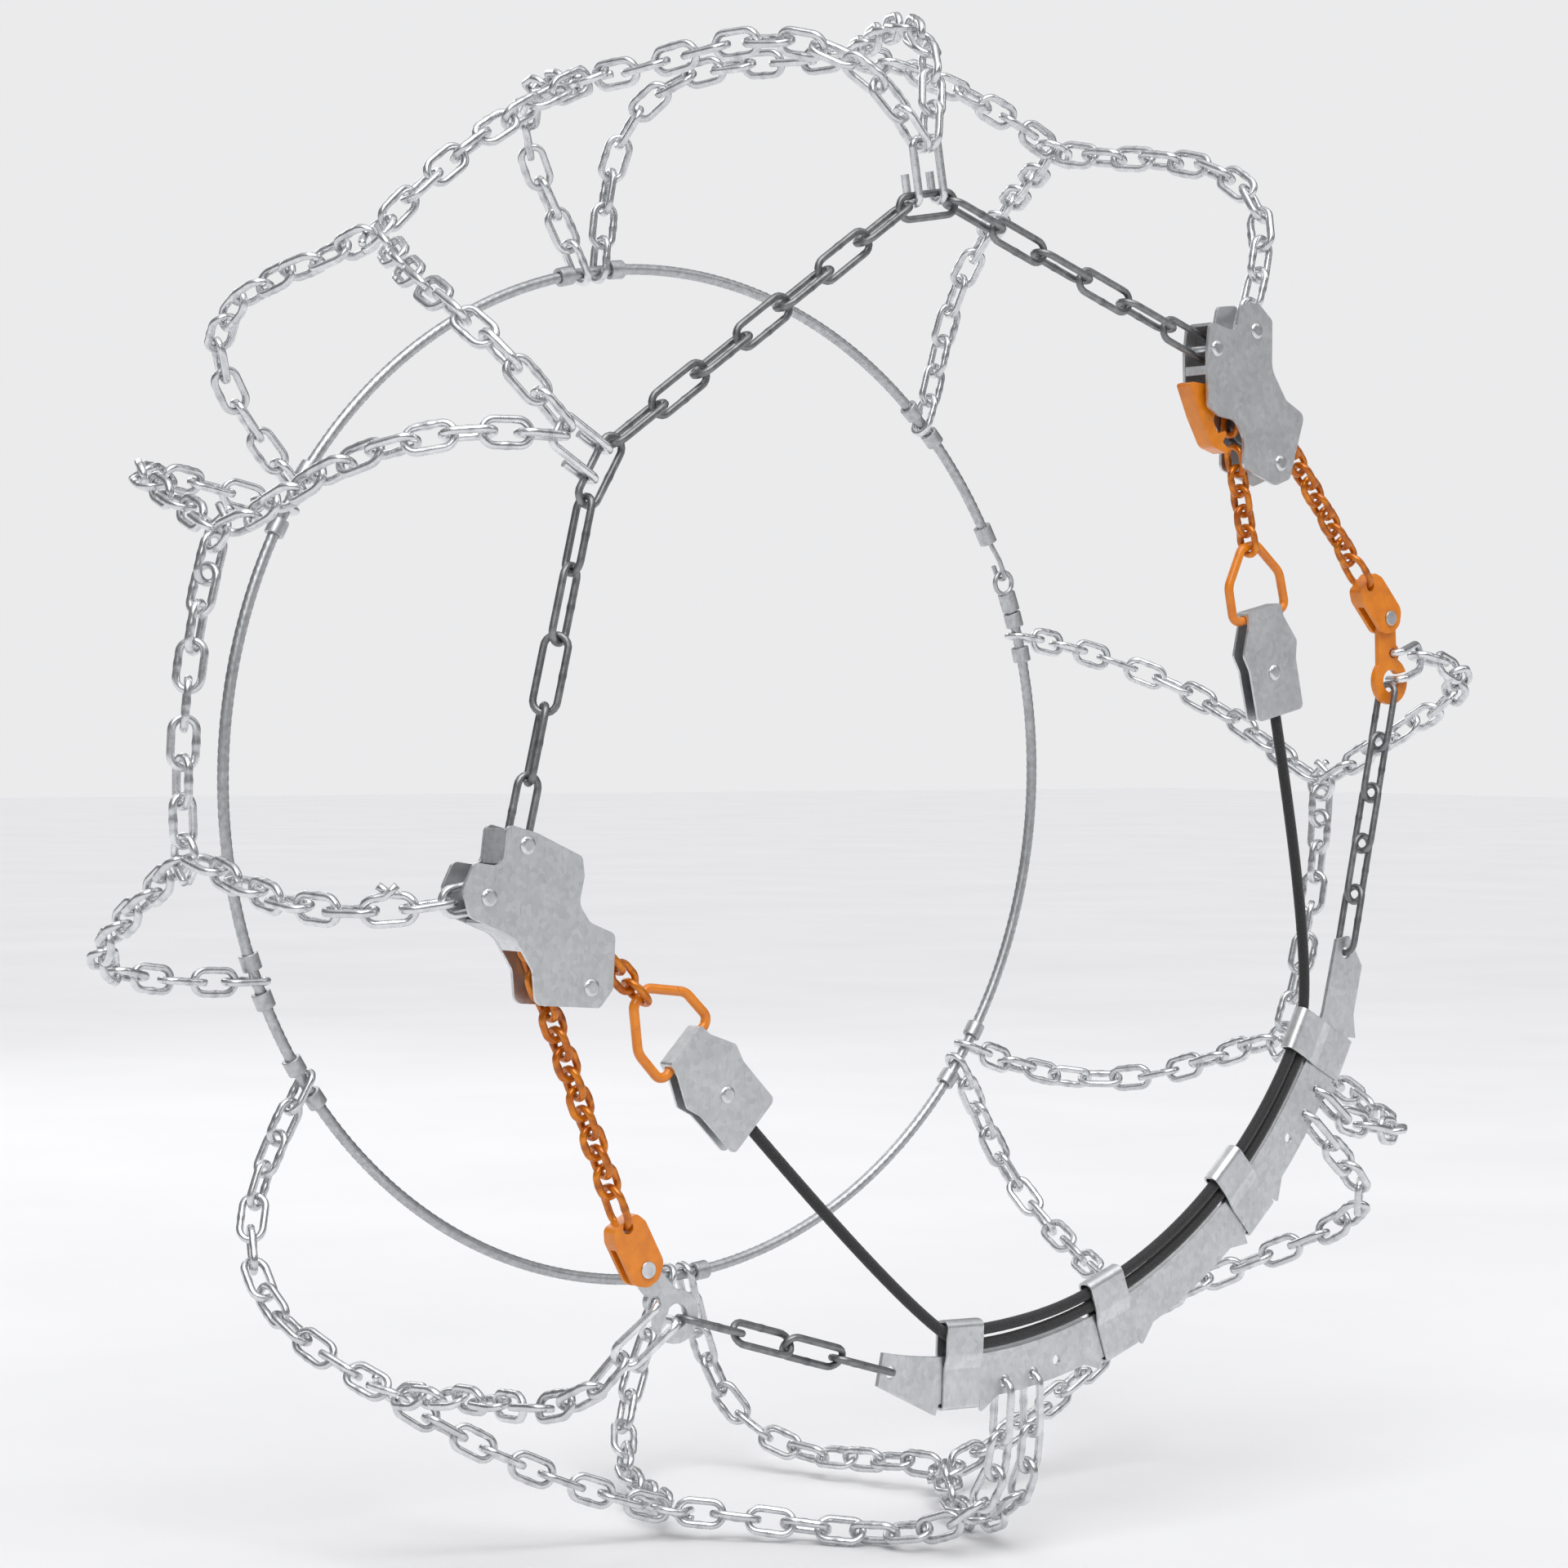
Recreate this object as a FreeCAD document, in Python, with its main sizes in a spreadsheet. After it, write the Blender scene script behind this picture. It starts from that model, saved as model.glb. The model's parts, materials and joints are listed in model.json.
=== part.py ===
"""Self-tensioning tyre snow chain, in the shape it takes when fitted round a 225/40 R18 tyre.

Frame: millimetres. The origin is the centre of the wheel, Y is the wheel's axis with -Y on the
outer side of the wheel, and +Z is up. Angles are measured in the wheel's plane from +X to +Z.
"""
import FreeCAD, Part
import math
import os
import Sketcher
from FreeCAD import Matrix, Placement, Rotation, Vector

doc = FreeCAD.newDocument("snow_chain")
sheet = doc.addObject("Spreadsheet::Sheet", "dims")

DIMENSIONS = [
    # tyre seat and the net's surface
    ("tread_radius", 324.0), ("seat_radius", 318.5), ("side_plane", 121.0), ("bead_radius", 248.0),
    # tread chain: short zinc links
    ("tread_pitch", 16.0), ("tread_wire", 3.3), ("tread_width", 13.5), ("end_link_pitch", 23.0),
    ("ring_radius", 7.4), ("ring_gap", 2.2),
    # side chain: long grey links
    ("side_pitch", 27.2), ("side_wire", 3.0), ("side_width", 12.6), ("side_radius", 243.0),
    # tension chain: small orange links
    ("pull_pitch", 9.0), ("pull_wire", 3.0), ("pull_width", 11.7), ("eye_pitch", 14.0), ("eye_width", 14.4),
    ("link_play", 0.6),
    # two-prong edge hooks and the strand shackles
    ("hook_wire", 3.4), ("prong_spread", 13.6), ("hook_height", 22.4), ("hook_bend", 3.6),
    ("shackle_wire", 3.4), ("shackle_leg", 26.0), ("shackle_half", 6.2),
    ("shackle_front", 5.4),
    # ratchet housings
    ("plate_gap", 12.6), ("plate_thick", 1.5), ("sheave_path", 13.0), ("sheave_groove", 5.6),
    ("sheave_flange", 8.6), ("sheave_width", 9.0), ("sheave_slot", 4.4), ("rivet_shank", 2.0),
    ("rivet_head", 3.5), ("lever_width", 8.4), ("pivot_radius", 2.0), ("running_gap", 0.06),
    ("spring_wire", 0.8), ("spring_radius", 3.6),
    # chain clips and corner hooks
    ("clip_length", 29.0), ("clip_width", 17.0), ("clip_thick", 7.4), ("clip_slot", 3.6),
    ("clip_pin", 2.4), ("hook_plate", 3.0),
    # pull rings and brackets
    ("ring_wire", 4.0), ("bracket_length", 49.0), ("bracket_thick", 7.6), ("bracket_slot", 5.2),
    # arc plate, its clips and the elastic cords
    ("arc_inner", 231.5), ("arc_outer", 250.3), ("arc_ear", 256.0), ("arc_thick", 2.0),
    ("loop_width", 20.0), ("loop_sheet", 1.2), ("cord_diameter", 5.0),
    # inner hoop
    ("hoop_radius", 236.0), ("hoop_wire", 5.2), ("hoop_plane", 117.0), ("sleeve_radius", 4.4),
]
for row, (alias, value) in enumerate(DIMENSIONS, start=1):
    sheet.set(f"A{row}", alias)
    sheet.set(f"B{row}", str(value))
    sheet.setAlias(f"B{row}", alias)
doc.recompute()

dim = {alias: float(getattr(sheet, alias)) for alias, value in DIMENSIONS}
OUT = Vector(0, -1, 0)
SIDE_Y = -dim["side_plane"]

nodes = []


# ---------------------------------------------------------------- frames and paths

def polar(angle, radius, y=0.0):
    """Point at an angle and radius about the wheel's axis."""
    turn = math.radians(angle)
    return Vector(radius * math.cos(turn), y, radius * math.sin(turn))


def direction(angle):
    return polar(angle, 1.0)


def frame(origin, along, normal):
    """Placement with its X along one direction and its Z as near the normal as it can be."""
    x = Vector(along).normalize()
    z = Vector(normal) - x * x.dot(Vector(normal))
    z.normalize()
    y = z.cross(x)
    return Placement(Matrix(x.x, y.x, z.x, origin.x, x.y, y.y, z.y, origin.y,
                            x.z, y.z, z.z, origin.z, 0, 0, 0, 1))


def flat_frame(origin, angle, y=SIDE_Y):
    """Frame lying in the wheel's plane: X at the angle, Z outwards."""
    return frame(Vector(origin[0], y, origin[1]), direction(angle), OUT)


def spaced(points, count):
    """Points that cut a fine polyline into equal lengths."""
    steps = [(b - a).Length for a, b in zip(points, points[1:])]
    total = sum(steps)
    result, at, index = [points[0]], 0.0, 0
    for k in range(1, count):
        target = total * k / count
        while at + steps[index] < target:
            at += steps[index]
            index += 1
        result.append(points[index] + (points[index + 1] - points[index]) * ((target - at) / steps[index]))
    result.append(points[-1])
    return result


def length_of(points):
    return sum((b - a).Length for a, b in zip(points, points[1:]))


def rounded_path(corners, closed=False):
    """Wire of straight runs joined by tangent arcs. Each corner is (point, radius)."""
    count = len(corners)
    edges, ends = [], []
    for k in range(count):
        point, radius = corners[k]
        if not closed and k in (0, count - 1):
            ends.append((point, point, None))
            continue
        back = (corners[k - 1][0] - point).normalize()
        ahead = (corners[(k + 1) % count][0] - point).normalize()
        half = back.getAngle(ahead) / 2
        reach = radius / math.tan(half)
        middle = point + (back + ahead).normalize() * (radius / math.sin(half) - radius)
        ends.append((point + back * reach, point + ahead * reach, middle))
    for k in range(count if closed else count - 1):
        start, finish = ends[k][1], ends[(k + 1) % count][0]
        if (finish - start).Length > 1e-6:
            edges.append(Part.LineSegment(start, finish).toShape())
        arc = ends[(k + 1) % count]
        if arc[2] is not None:
            edges.append(Part.Arc(arc[0], arc[2], arc[1]).toShape())
    return Part.Wire(edges)


def tube(path, diameter):
    """Round bar swept along a wire."""
    start = path.Edges[0].valueAt(path.Edges[0].FirstParameter)
    heading = path.Edges[0].tangentAt(path.Edges[0].FirstParameter)
    section = Part.Wire(Part.makeCircle(diameter / 2, start, heading))
    return path.makePipeShell([section], True, False)


# ---------------------------------------------------------------- sub-parts of the document

def keep(feature, label):
    feature.Label = label
    nodes.append(feature)
    return feature


def coded_part(label, shapes, placement=None):
    """Sub-part whose solids are worked out in code, as chains and bent wire are."""
    feature = doc.addObject("Part::Feature", label)
    feature.Shape = Part.Compound(shapes) if len(shapes) > 1 else shapes[0]
    feature.Placement = placement or Placement()
    return keep(feature, label)


def origin_plane(body, role):
    return next(f for f in body.Origin.OriginFeatures if f.Role == role)


def add_sketch(body, name, role="XY_Plane"):
    sketch = body.newObject("Sketcher::SketchObject", name)
    sketch.AttachmentSupport = [(origin_plane(body, role), "")]
    sketch.MapMode = "FlatFace"
    return sketch


def draw_outline(sketch, corners, hand=1):
    """Closed outline of straight edges with rounded corners. Each corner is (x, y, radius)."""
    points = [(Vector(x, hand * y, 0), radius) for x, y, radius in corners]
    for edge in rounded_path(points, closed=True).Edges:
        curve = edge.Curve
        first, last = edge.valueAt(edge.FirstParameter), edge.valueAt(edge.LastParameter)
        if isinstance(curve, Part.Circle):
            middle = edge.valueAt((edge.FirstParameter + edge.LastParameter) / 2)
            sketch.addGeometry(Part.Arc(first, middle, last), False)
        else:
            sketch.addGeometry(Part.LineSegment(first, last), False)


def draw_hole(sketch, x, y, alias):
    """Circle whose radius follows a cell of the sheet."""
    index = sketch.addGeometry(Part.Circle(Vector(x, y, 0), Vector(0, 0, 1), dim[alias]), False)
    constraint = sketch.addConstraint(Sketcher.Constraint("Radius", index, dim[alias]))
    sketch.setExpression(f"Constraints[{constraint}]", f"dims.{alias}")


def add_pad(body, sketch, length, middle=False, reverse=False):
    pad = body.newObject("PartDesign::Pad", sketch.Name + "_pad")
    pad.Profile = sketch
    pad.Midplane = middle
    pad.Reversed = reverse
    pad.setExpression("Length", length)
    body.Tip = pad
    doc.recompute()
    return pad


def add_pocket(body, sketch, length, middle=True):
    before = body.Tip.Shape.Volume
    pocket = body.newObject("PartDesign::Pocket", sketch.Name + "_pocket")
    pocket.Profile = sketch
    pocket.Midplane = middle
    pocket.setExpression("Length", length)
    body.Tip = pocket
    doc.recompute()
    if not pocket.Shape.Volume < before - 1.0:
        raise RuntimeError(f"{pocket.Name} removed nothing")
    return pocket


def turned_body(name, profile):
    """Body of revolution about its own Z axis. The profile is a list of (radius, height)."""
    body = doc.addObject("PartDesign::Body", name)
    sketch = add_sketch(body, name + "_profile", "XZ_Plane")
    for (r0, h0), (r1, h1) in zip(profile, profile[1:] + profile[:1]):
        sketch.addGeometry(Part.LineSegment(Vector(r0, h0, 0), Vector(r1, h1, 0)), False)
    turn = body.newObject("PartDesign::Revolution", name + "_turn")
    turn.Profile = sketch
    turn.ReferenceAxis = (sketch, ["V_Axis"])
    turn.Angle = 360
    body.Tip = turn
    return body


# ---------------------------------------------------------------- chain links

def link_shape(pitch, wire, width):
    """Stadium-shaped link in its own XY plane, long axis along X, centred on the origin."""
    reach = (pitch + dim["link_play"] + wire) / 2
    bend = (width - wire) / 2
    straight = reach - bend
    path = Part.Wire([
        Part.LineSegment(Vector(-straight, -bend, 0), Vector(straight, -bend, 0)).toShape(),
        Part.Arc(Vector(straight, -bend, 0), Vector(reach, 0, 0), Vector(straight, bend, 0)).toShape(),
        Part.LineSegment(Vector(straight, bend, 0), Vector(-straight, bend, 0)).toShape(),
        Part.Arc(Vector(-straight, bend, 0), Vector(-reach, 0, 0), Vector(-straight, -bend, 0)).toShape(),
    ])
    return tube(path, wire)


TREAD_LINK = link_shape(dim["tread_pitch"], dim["tread_wire"], dim["tread_width"])
END_LINK = link_shape(dim["end_link_pitch"], dim["tread_wire"], dim["tread_width"])
SIDE_LINK = link_shape(dim["side_pitch"], dim["side_wire"], dim["side_width"])
PULL_LINK = link_shape(dim["pull_pitch"], dim["pull_wire"], dim["pull_width"])
EYE_LINK = link_shape(dim["eye_pitch"], dim["pull_wire"], dim["eye_width"])

UPRIGHT, FLAT = 90.0, 0.0


def placed_link(link, start, finish, normal, roll):
    """Link between two contact points; roll 0 lays it flat, 90 stands it on its edge."""
    place = frame((start + finish) / 2, finish - start, normal)
    place = place * Placement(Vector(), Rotation(Vector(1, 0, 0), roll))
    return link.transformed(place.toMatrix(), True)


def chain(link, points, normal_at, first, last):
    """Links along the contact points. The rolls step by about 90 degrees from first to last."""
    count = len(points) - 1
    steps = count - 1
    turn = first + 90.0 * steps
    slip = (last - turn + 90.0) % 180.0 - 90.0
    step = 90.0 + (slip / steps if steps else 0.0)
    links = []
    for k in range(count):
        middle = (points[k] + points[k + 1]) / 2
        links.append(placed_link(link, points[k], points[k + 1], normal_at(middle), first + step * k))
    return links


def outwards(point):
    return OUT


# ---------------------------------------------------------------- the net on the tread

# Centre line of a strand over half the tyre: distance from mid-tread, and radius.
PROFILE_POINTS = [(0, 324), (48, 323.2), (84, 319.5), (104, 308), (115.5, 290), (119, 268), (118, 248), (117, 236)]
profile_curve = Part.BSplineCurve()
profile_curve.interpolate([Vector(across, radius, 0) for across, radius in PROFILE_POINTS])
profile_edge = profile_curve.toShape()
PROFILE_STEPS = 240
PROFILE = [profile_edge.valueAt(profile_edge.getParameterByLength(profile_edge.Length * k / PROFILE_STEPS))
           for k in range(PROFILE_STEPS + 1)]


def profile_index(radius):
    """Step of the profile where the strand has come down the side wall to a radius."""
    return next(k for k in range(PROFILE_STEPS + 1) if PROFILE[k].y <= radius + 0.01 and PROFILE[k].x > 60)


def tyre_normal(point):
    """Direction out of the tyre at a point of the net."""
    across = abs(point.y)
    radius = math.hypot(point.x, point.z)
    k = min(range(1, PROFILE_STEPS), key=lambda n: (PROFILE[n].x - across) ** 2 + (PROFILE[n].y - radius) ** 2)
    slope = PROFILE[k + 1] - PROFILE[k - 1]
    radial = Vector(point.x, 0, point.z).normalize()
    sign = 1 if point.y > 0 else -1
    return (Vector(0, -slope.y * sign, 0) + radial * slope.x).normalize()


def net_path(joint, side, angle, end_radius, end_y, bow):
    """Fine polyline from a net joint over the shoulder to a point on one side of the wheel."""
    joint_angle, joint_y, lift = joint
    start = round(PROFILE_STEPS * abs(joint_y) / profile_edge.Length)
    start = start if joint_y * side > 0 else -start
    stop = profile_index(end_radius)
    points = []
    for k in range(start, stop + 1):
        part = (k - start) / (stop - start)
        flat = PROFILE[abs(k)]
        across = flat.x if k >= 0 else -flat.x
        y = side * across + (end_y - side * across) * part ** 4
        turn = joint_angle + (angle - joint_angle) * part + bow * math.sin(math.pi * part)
        points.append(polar(turn, flat.y + lift * (1 - part) ** 2, y))
    return points


def trimmed(points, head, tail):
    """Polyline shortened by head at its start and lengthened by tail at its end."""
    result = list(points)
    while (result[1] - points[0]).Length < head:
        result.pop(0)
    result[0] = points[0] + (result[1] - points[0]).normalize() * head
    result[-1] = result[-1] + (result[-1] - result[-2]).normalize() * tail
    return result


# Net joints: angle, distance from mid-tread, height above the tread.
JOINTS = {
    "a": (185.0, 0, 0), "b": (162.2, 0, 0), "c": (136.1, 0, 0), "d": (113.3, 0, 0),
    "e": (87.3, 0, 0), "f": (64.5, 0, 0),
    "g": (-128.5, 30, 7), "h": (-104.4, 0, 3), "i": (-76.0, 0, 3), "j": (-52.0, 0, 2),
    "k": (-23.5, 0, 0), "l": (-0.7, 0, 0),
}
RING_INSIDE = dim["ring_radius"] - dim["tread_wire"] / 2


def strand(joint, side, angle, end_radius, end_y, bow=0.0, beyond=0.0, last=UPRIGHT):
    """Links from a net joint to an end point."""
    path = trimmed(net_path(JOINTS[joint], side, angle, end_radius, end_y, bow), RING_INSIDE, beyond)
    count = math.ceil(length_of(path) / dim["tread_pitch"])
    return chain(TREAD_LINK, spaced(path, count), tyre_normal, UPRIGHT, last)


def joint_ring(joint):
    """Open connecting ring lying on the tread."""
    angle, y, lift = joint
    centre = polar(angle, PROFILE[round(PROFILE_STEPS * abs(y) / profile_edge.Length)].y + lift, y)
    normal = tyre_normal(centre)
    ring = Part.makeTorus(dim["ring_radius"], dim["tread_wire"] / 2)
    gap = Part.makeBox(2 * dim["tread_wire"], dim["ring_gap"], 2 * dim["tread_wire"],
                       Vector(dim["ring_radius"] - dim["tread_wire"], -dim["ring_gap"] / 2, -dim["tread_wire"]))
    ring = ring.cut(gap)
    return ring.transformed(frame(centre, Vector(0, 1, 0), normal).toMatrix(), True)


# ---------------------------------------------------------------- places of the outer side

# Edge hooks, on the side chain.
EDGE_HOOKS = {"left": 149.45, "top": 100.3}
HOOK_CROWN = dim["side_radius"] + (dim["side_width"] - dim["side_wire"]) / 2 + dim["hook_height"]
HOOK_Y = SIDE_Y - dim["hook_bend"]

# Ratchets: side-chain rivet's place (x, z), direction of the housing's long axis, and hand.
RATCHETS = {
    "left": {"at": (-248.8, -22.0), "angle": -59.9, "hand": -1},
    "right": {"at": (118.6, 190.1), "angle": -51.5, "hand": 1},
}
STRAND_RIVET = (8.0, 25.0)
EXIT_RIVET = (63.0, 1.5)
SHEAVE = (43.0, 3.0)
LEVER_PIVOT = (17.0, -13.5)

# Clip pins and corner hooks: pin place, direction from the pin to the hook's eye, length to the eye.
CORNERS = {
    "left": {"pin": (-187.7, -189.1), "angle": -51.1, "reach": 25.8, "clip": -61.0, "hand": 1},
    "right": {"pin": (236.0, 74.6), "angle": -83.0, "reach": 29.0, "clip": -47.0, "hand": -1},
}

# Arc plate: centre of its curve and the angles of its ends and clips about that centre.
ARC_CENTRE = (-13.4, -8.1)
ARC_CLIPS = (-92.0, -70.4, -47.7, -28.2)
ARC_END = -102.6
ARC_HOLES = {"low_a": (-86.0, 245.0), "low_b": (-82.2, 245.0), "low_spare": (-78.9, 243.0),
             "side_a": (-32.6, 245.0), "side_b": (-35.6, 245.0), "side_spare": (-39.0, 242.0),
             "end_left": (-101.2, 239.0), "end_right": (-17.3, 235.5)}
EYE_HOLE = 5.2
EYE_RIM = 10.8
LEG_HOLE = 2.3
LEG_LOBE = 4.4
CORD_TRACKS = {"left": 227.3, "right": 221.6}


def on_arc(angle, radius, y=SIDE_Y):
    """Point at an angle and radius about the centre of the arc plate's curve."""
    return polar(angle, radius, y) + Vector(ARC_CENTRE[0], 0, ARC_CENTRE[1])


def housing_frame(side):
    ratchet = RATCHETS[side]
    return flat_frame(ratchet["at"], ratchet["angle"])


def in_housing(side, place, height=0.0):
    """Point of a ratchet given along and across its housing."""
    along, across = place
    return housing_frame(side).multVec(Vector(along, RATCHETS[side]["hand"] * across, height))


def about_wheel(point):
    return math.degrees(math.atan2(point.z, point.x)), math.hypot(point.x, point.z)


# ---------------------------------------------------------------- tread net

def strand_to(joint, side, point, **options):
    angle, radius = about_wheel(point)
    reference = JOINTS[joint][0]
    angle += 360.0 * round((reference - angle) / 360.0)
    return strand(joint, side, angle, radius, point.y, **options)


def crown_point(name, offset):
    """Point on an edge hook's crown, offset along the rim."""
    angle = EDGE_HOOKS[name]
    return polar(angle, HOOK_CROWN, HOOK_Y) + direction(angle + 90) * offset


CROWN_OFFSET = 3.2
CROWN = dim["hook_wire"] / 2


def corner_eye(side):
    """Centre of the round eye of a corner hook."""
    corner = CORNERS[side]
    pin = Vector(corner["pin"][0], SIDE_Y, corner["pin"][1])
    return pin + direction(corner["angle"]) * corner["reach"]


# Direction of each shackle's legs, and how far past the eye's centre its inner leg goes through.
SHACKLE = {"left": -131.0, "right": 12.0}
SHACKLE_PAST = 3.0
SHACKLE_HOLD = dim["shackle_wire"] / 2 - 0.4


def shackle_foot(side):
    """Point of the corner hook midway between the shackle's two legs."""
    back = direction(CORNERS[side]["angle"]) * dim["shackle_half"]
    return corner_eye(side) - back + direction(SHACKLE[side]) * SHACKLE_PAST


def shackle_end(side):
    return shackle_foot(side) + direction(SHACKLE[side]) * dim["shackle_leg"] - OUT * 6.0


def end_linked(joint, hole, bow):
    """Strand that ends in one long link through a hole of the arc plate."""
    angle, radius = ARC_HOLES[hole]
    tip = on_arc(angle, radius)
    wheel_angle, wheel_radius = about_wheel(tip)
    knee_radius = wheel_radius + dim["end_link_pitch"] + (dim["tread_wire"] + dim["link_play"]) / 2
    path = net_path(JOINTS[joint], -1, wheel_angle, knee_radius, SIDE_Y + 2.0, bow)
    path = trimmed(path, RING_INSIDE, 0.0)
    count = math.ceil(length_of(path) / dim["tread_pitch"])
    links = chain(TREAD_LINK, spaced(path, count), tyre_normal, UPRIGHT, FLAT)
    heading = (tip - path[-1]).normalize()
    links.append(placed_link(END_LINK, path[-1], path[-1] + heading * dim["end_link_pitch"], OUT, UPRIGHT))
    return links


HOOP_ANGLES = {"a": 202.0, "b": 150.4, "c": 147.8, "d": 101.6, "e": 99.0, "f": 47.0,
               "g": -145.5, "h": -88.7, "i": -86.1, "j": -37.8, "k": -35.2, "l": 17.0}


def inner_strand(joint, bow=0.0):
    point = polar(HOOP_ANGLES[joint], dim["hoop_radius"], dim["hoop_plane"])
    return strand_to(joint, 1, point, bow=bow, beyond=dim["hoop_wire"] / 2)


def build_net():
    pin = dim["rivet_shank"]
    coded_part("outer_strand_left_ratchet",
               strand_to("a", -1, in_housing("left", STRAND_RIVET), bow=1.2, beyond=pin, last=FLAT))
    coded_part("outer_strands_left_hook",
               strand_to("b", -1, crown_point("left", CROWN_OFFSET), bow=1.2, beyond=CROWN)
               + strand_to("c", -1, crown_point("left", -CROWN_OFFSET), bow=1.2, beyond=CROWN))
    coded_part("outer_strands_top_hook",
               strand_to("d", -1, crown_point("top", CROWN_OFFSET), bow=0.6, beyond=CROWN)
               + strand_to("e", -1, crown_point("top", -CROWN_OFFSET), bow=0.3, beyond=CROWN))
    coded_part("outer_strand_right_ratchet",
               strand_to("f", -1, in_housing("right", STRAND_RIVET), beyond=pin, last=FLAT))
    coded_part("outer_strand_left_corner",
               strand_to("g", -1, shackle_end("left"), beyond=SHACKLE_HOLD))
    coded_part("outer_strands_arc_low", end_linked("h", "low_a", 4.0) + end_linked("i", "low_b", -4.0))
    coded_part("outer_strands_arc_side", end_linked("k", "side_a", 0.0) + end_linked("j", "side_b", 4.0))
    coded_part("outer_strand_right_corner",
               strand_to("l", -1, shackle_end("right"), beyond=SHACKLE_HOLD))
    groups = {"inner_strand_left_ratchet": "a", "inner_strands_left_hook": "bc", "inner_strands_top_hook": "de",
              "inner_strand_right_ratchet": "f", "inner_strand_left_corner": "g", "inner_strands_arc_low": "hi",
              "inner_strands_arc_side": "jk", "inner_strand_right_corner": "l"}
    for label, joints in groups.items():
        coded_part(label, sum((inner_strand(joint) for joint in joints), []))
    for label, pairs in (("centre_strands_upper", ("ab", "cd", "ef")), ("centre_strands_lower", ("gh", "ij", "kl"))):
        coded_part(label, sum((centre_strand(*pair) for pair in pairs), []))
    coded_part("joint_rings", [joint_ring(joint) for joint in JOINTS.values()])


def centre_strand(first, second):
    """Links along the middle of the tread between two net joints."""
    angle_a, y_a, lift_a = JOINTS[first]
    angle_b, y_b, lift_b = JOINTS[second]
    steps = 40
    points = []
    for k in range(steps + 1):
        part = k / steps
        y = y_a + (y_b - y_a) * part
        lift = lift_a + (lift_b - lift_a) * part
        radius = PROFILE[round(PROFILE_STEPS * abs(y) / profile_edge.Length)].y
        points.append(polar(angle_a + (angle_b - angle_a) * part, radius + lift, y))
    path = trimmed(points, RING_INSIDE, -RING_INSIDE)
    count = math.ceil(length_of(path) / dim["tread_pitch"])
    return chain(TREAD_LINK, spaced(path, count), tyre_normal, UPRIGHT, UPRIGHT)


# ---------------------------------------------------------------- side chain, edge hooks and shackles

def edge_hook(name):
    """Staple with a crown for two strands and two prongs bent under a side-chain link."""
    half, bend, height = dim["prong_spread"] / 2, dim["hook_bend"], dim["hook_height"]
    foot = (dim["side_width"] - dim["side_wire"]) / 2
    place = frame(polar(EDGE_HOOKS[name], dim["side_radius"], SIDE_Y), direction(EDGE_HOOKS[name] + 90), OUT)
    tail = 9.0

    def prong(side):
        return [(Vector(side * half, -foot - tail, -bend), 0), (Vector(side * half, -foot + bend, -bend), bend - 0.01),
                (Vector(side * half, -foot + bend, bend), bend - 0.01)]

    crown = [(Vector(half, -foot - height, bend), 3.0), (Vector(-half, -foot - height, bend), 3.0)]
    path = rounded_path(prong(1) + crown + prong(-1)[::-1])
    return tube(path, dim["hook_wire"]).transformed(place.toMatrix(), True)


def side_run(start, finish, count):
    return spaced([start, finish], count)


def build_side_chain():
    shift = {"left": -1.5, "top": 0.0}
    half = dim["side_pitch"] / 2
    stations = {}
    for name, angle in EDGE_HOOKS.items():
        centre = polar(angle, dim["side_radius"], SIDE_Y) - direction(angle + 90) * shift[name]
        stations[name] = (centre + direction(angle + 90) * half, centre - direction(angle + 90) * half)

    def toward(rivet, other):
        """Contact point on the far side of a rivet's shank."""
        return rivet + (rivet - other).normalize() * dim["rivet_shank"]

    left_rivet, right_rivet = in_housing("left", (0, 0)), in_housing("right", (0, 0))
    left = side_run(toward(left_rivet, stations["left"][0]), stations["left"][0], 5)
    top = side_run(stations["left"][1], stations["top"][0], 7)
    right = side_run(stations["top"][1], toward(right_rivet, stations["top"][1]), 6)
    hooked = chain(SIDE_LINK, [stations["left"][0], stations["left"][1]], outwards, FLAT, FLAT)
    coded_part("side_chain_left", chain(SIDE_LINK, left, outwards, FLAT, UPRIGHT) + hooked)
    hooked = chain(SIDE_LINK, [stations["top"][0], stations["top"][1]], outwards, FLAT, FLAT)
    coded_part("side_chain_top", chain(SIDE_LINK, top, outwards, UPRIGHT, UPRIGHT) + hooked)
    coded_part("side_chain_right", chain(SIDE_LINK, right, outwards, UPRIGHT, FLAT))
    coded_part("edge_hooks", [edge_hook(name) for name in EDGE_HOOKS])

    ends = {side: on_arc(*ARC_HOLES[f"end_{side}"]) for side in ("left", "right")}
    for side, count in (("left", 4), ("right", 5)):
        eye = corner_eye(side)
        along = (ends[side] - eye).normalize()
        wire_reach = (dim["side_wire"] + dim["link_play"]) / 2
        start, finish = eye + along * (EYE_HOLE - 0.2), ends[side] - along * wire_reach
        slack = max(dim["side_pitch"] - (finish - start).Length / count, 0.0)
        path = side_run(start, finish - along * (slack / 2), count)
        coded_part(f"side_chain_low_{side}", chain(SIDE_LINK, path, outwards, UPRIGHT, UPRIGHT))


def shackle(side):
    """Two-legged wire whose ends pass through the corner hook's two holes."""
    foot, tip = shackle_foot(side), shackle_end(side)
    slant = (tip - foot).normalize()
    across = OUT.cross(slant).normalize()
    half = dim["shackle_half"]
    front = OUT * dim["shackle_front"]
    legs = []
    for sign in (1, -1):
        legs.append([(foot + across * (sign * half) - OUT * 4.0, 0), (foot + across * (sign * half) + front, 3.0),
                     (tip + across * (sign * half), 5.8)])
    path = rounded_path(legs[0] + legs[1][::-1])
    return tube(path, dim["shackle_wire"])


# ---------------------------------------------------------------- ratchets

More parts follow.
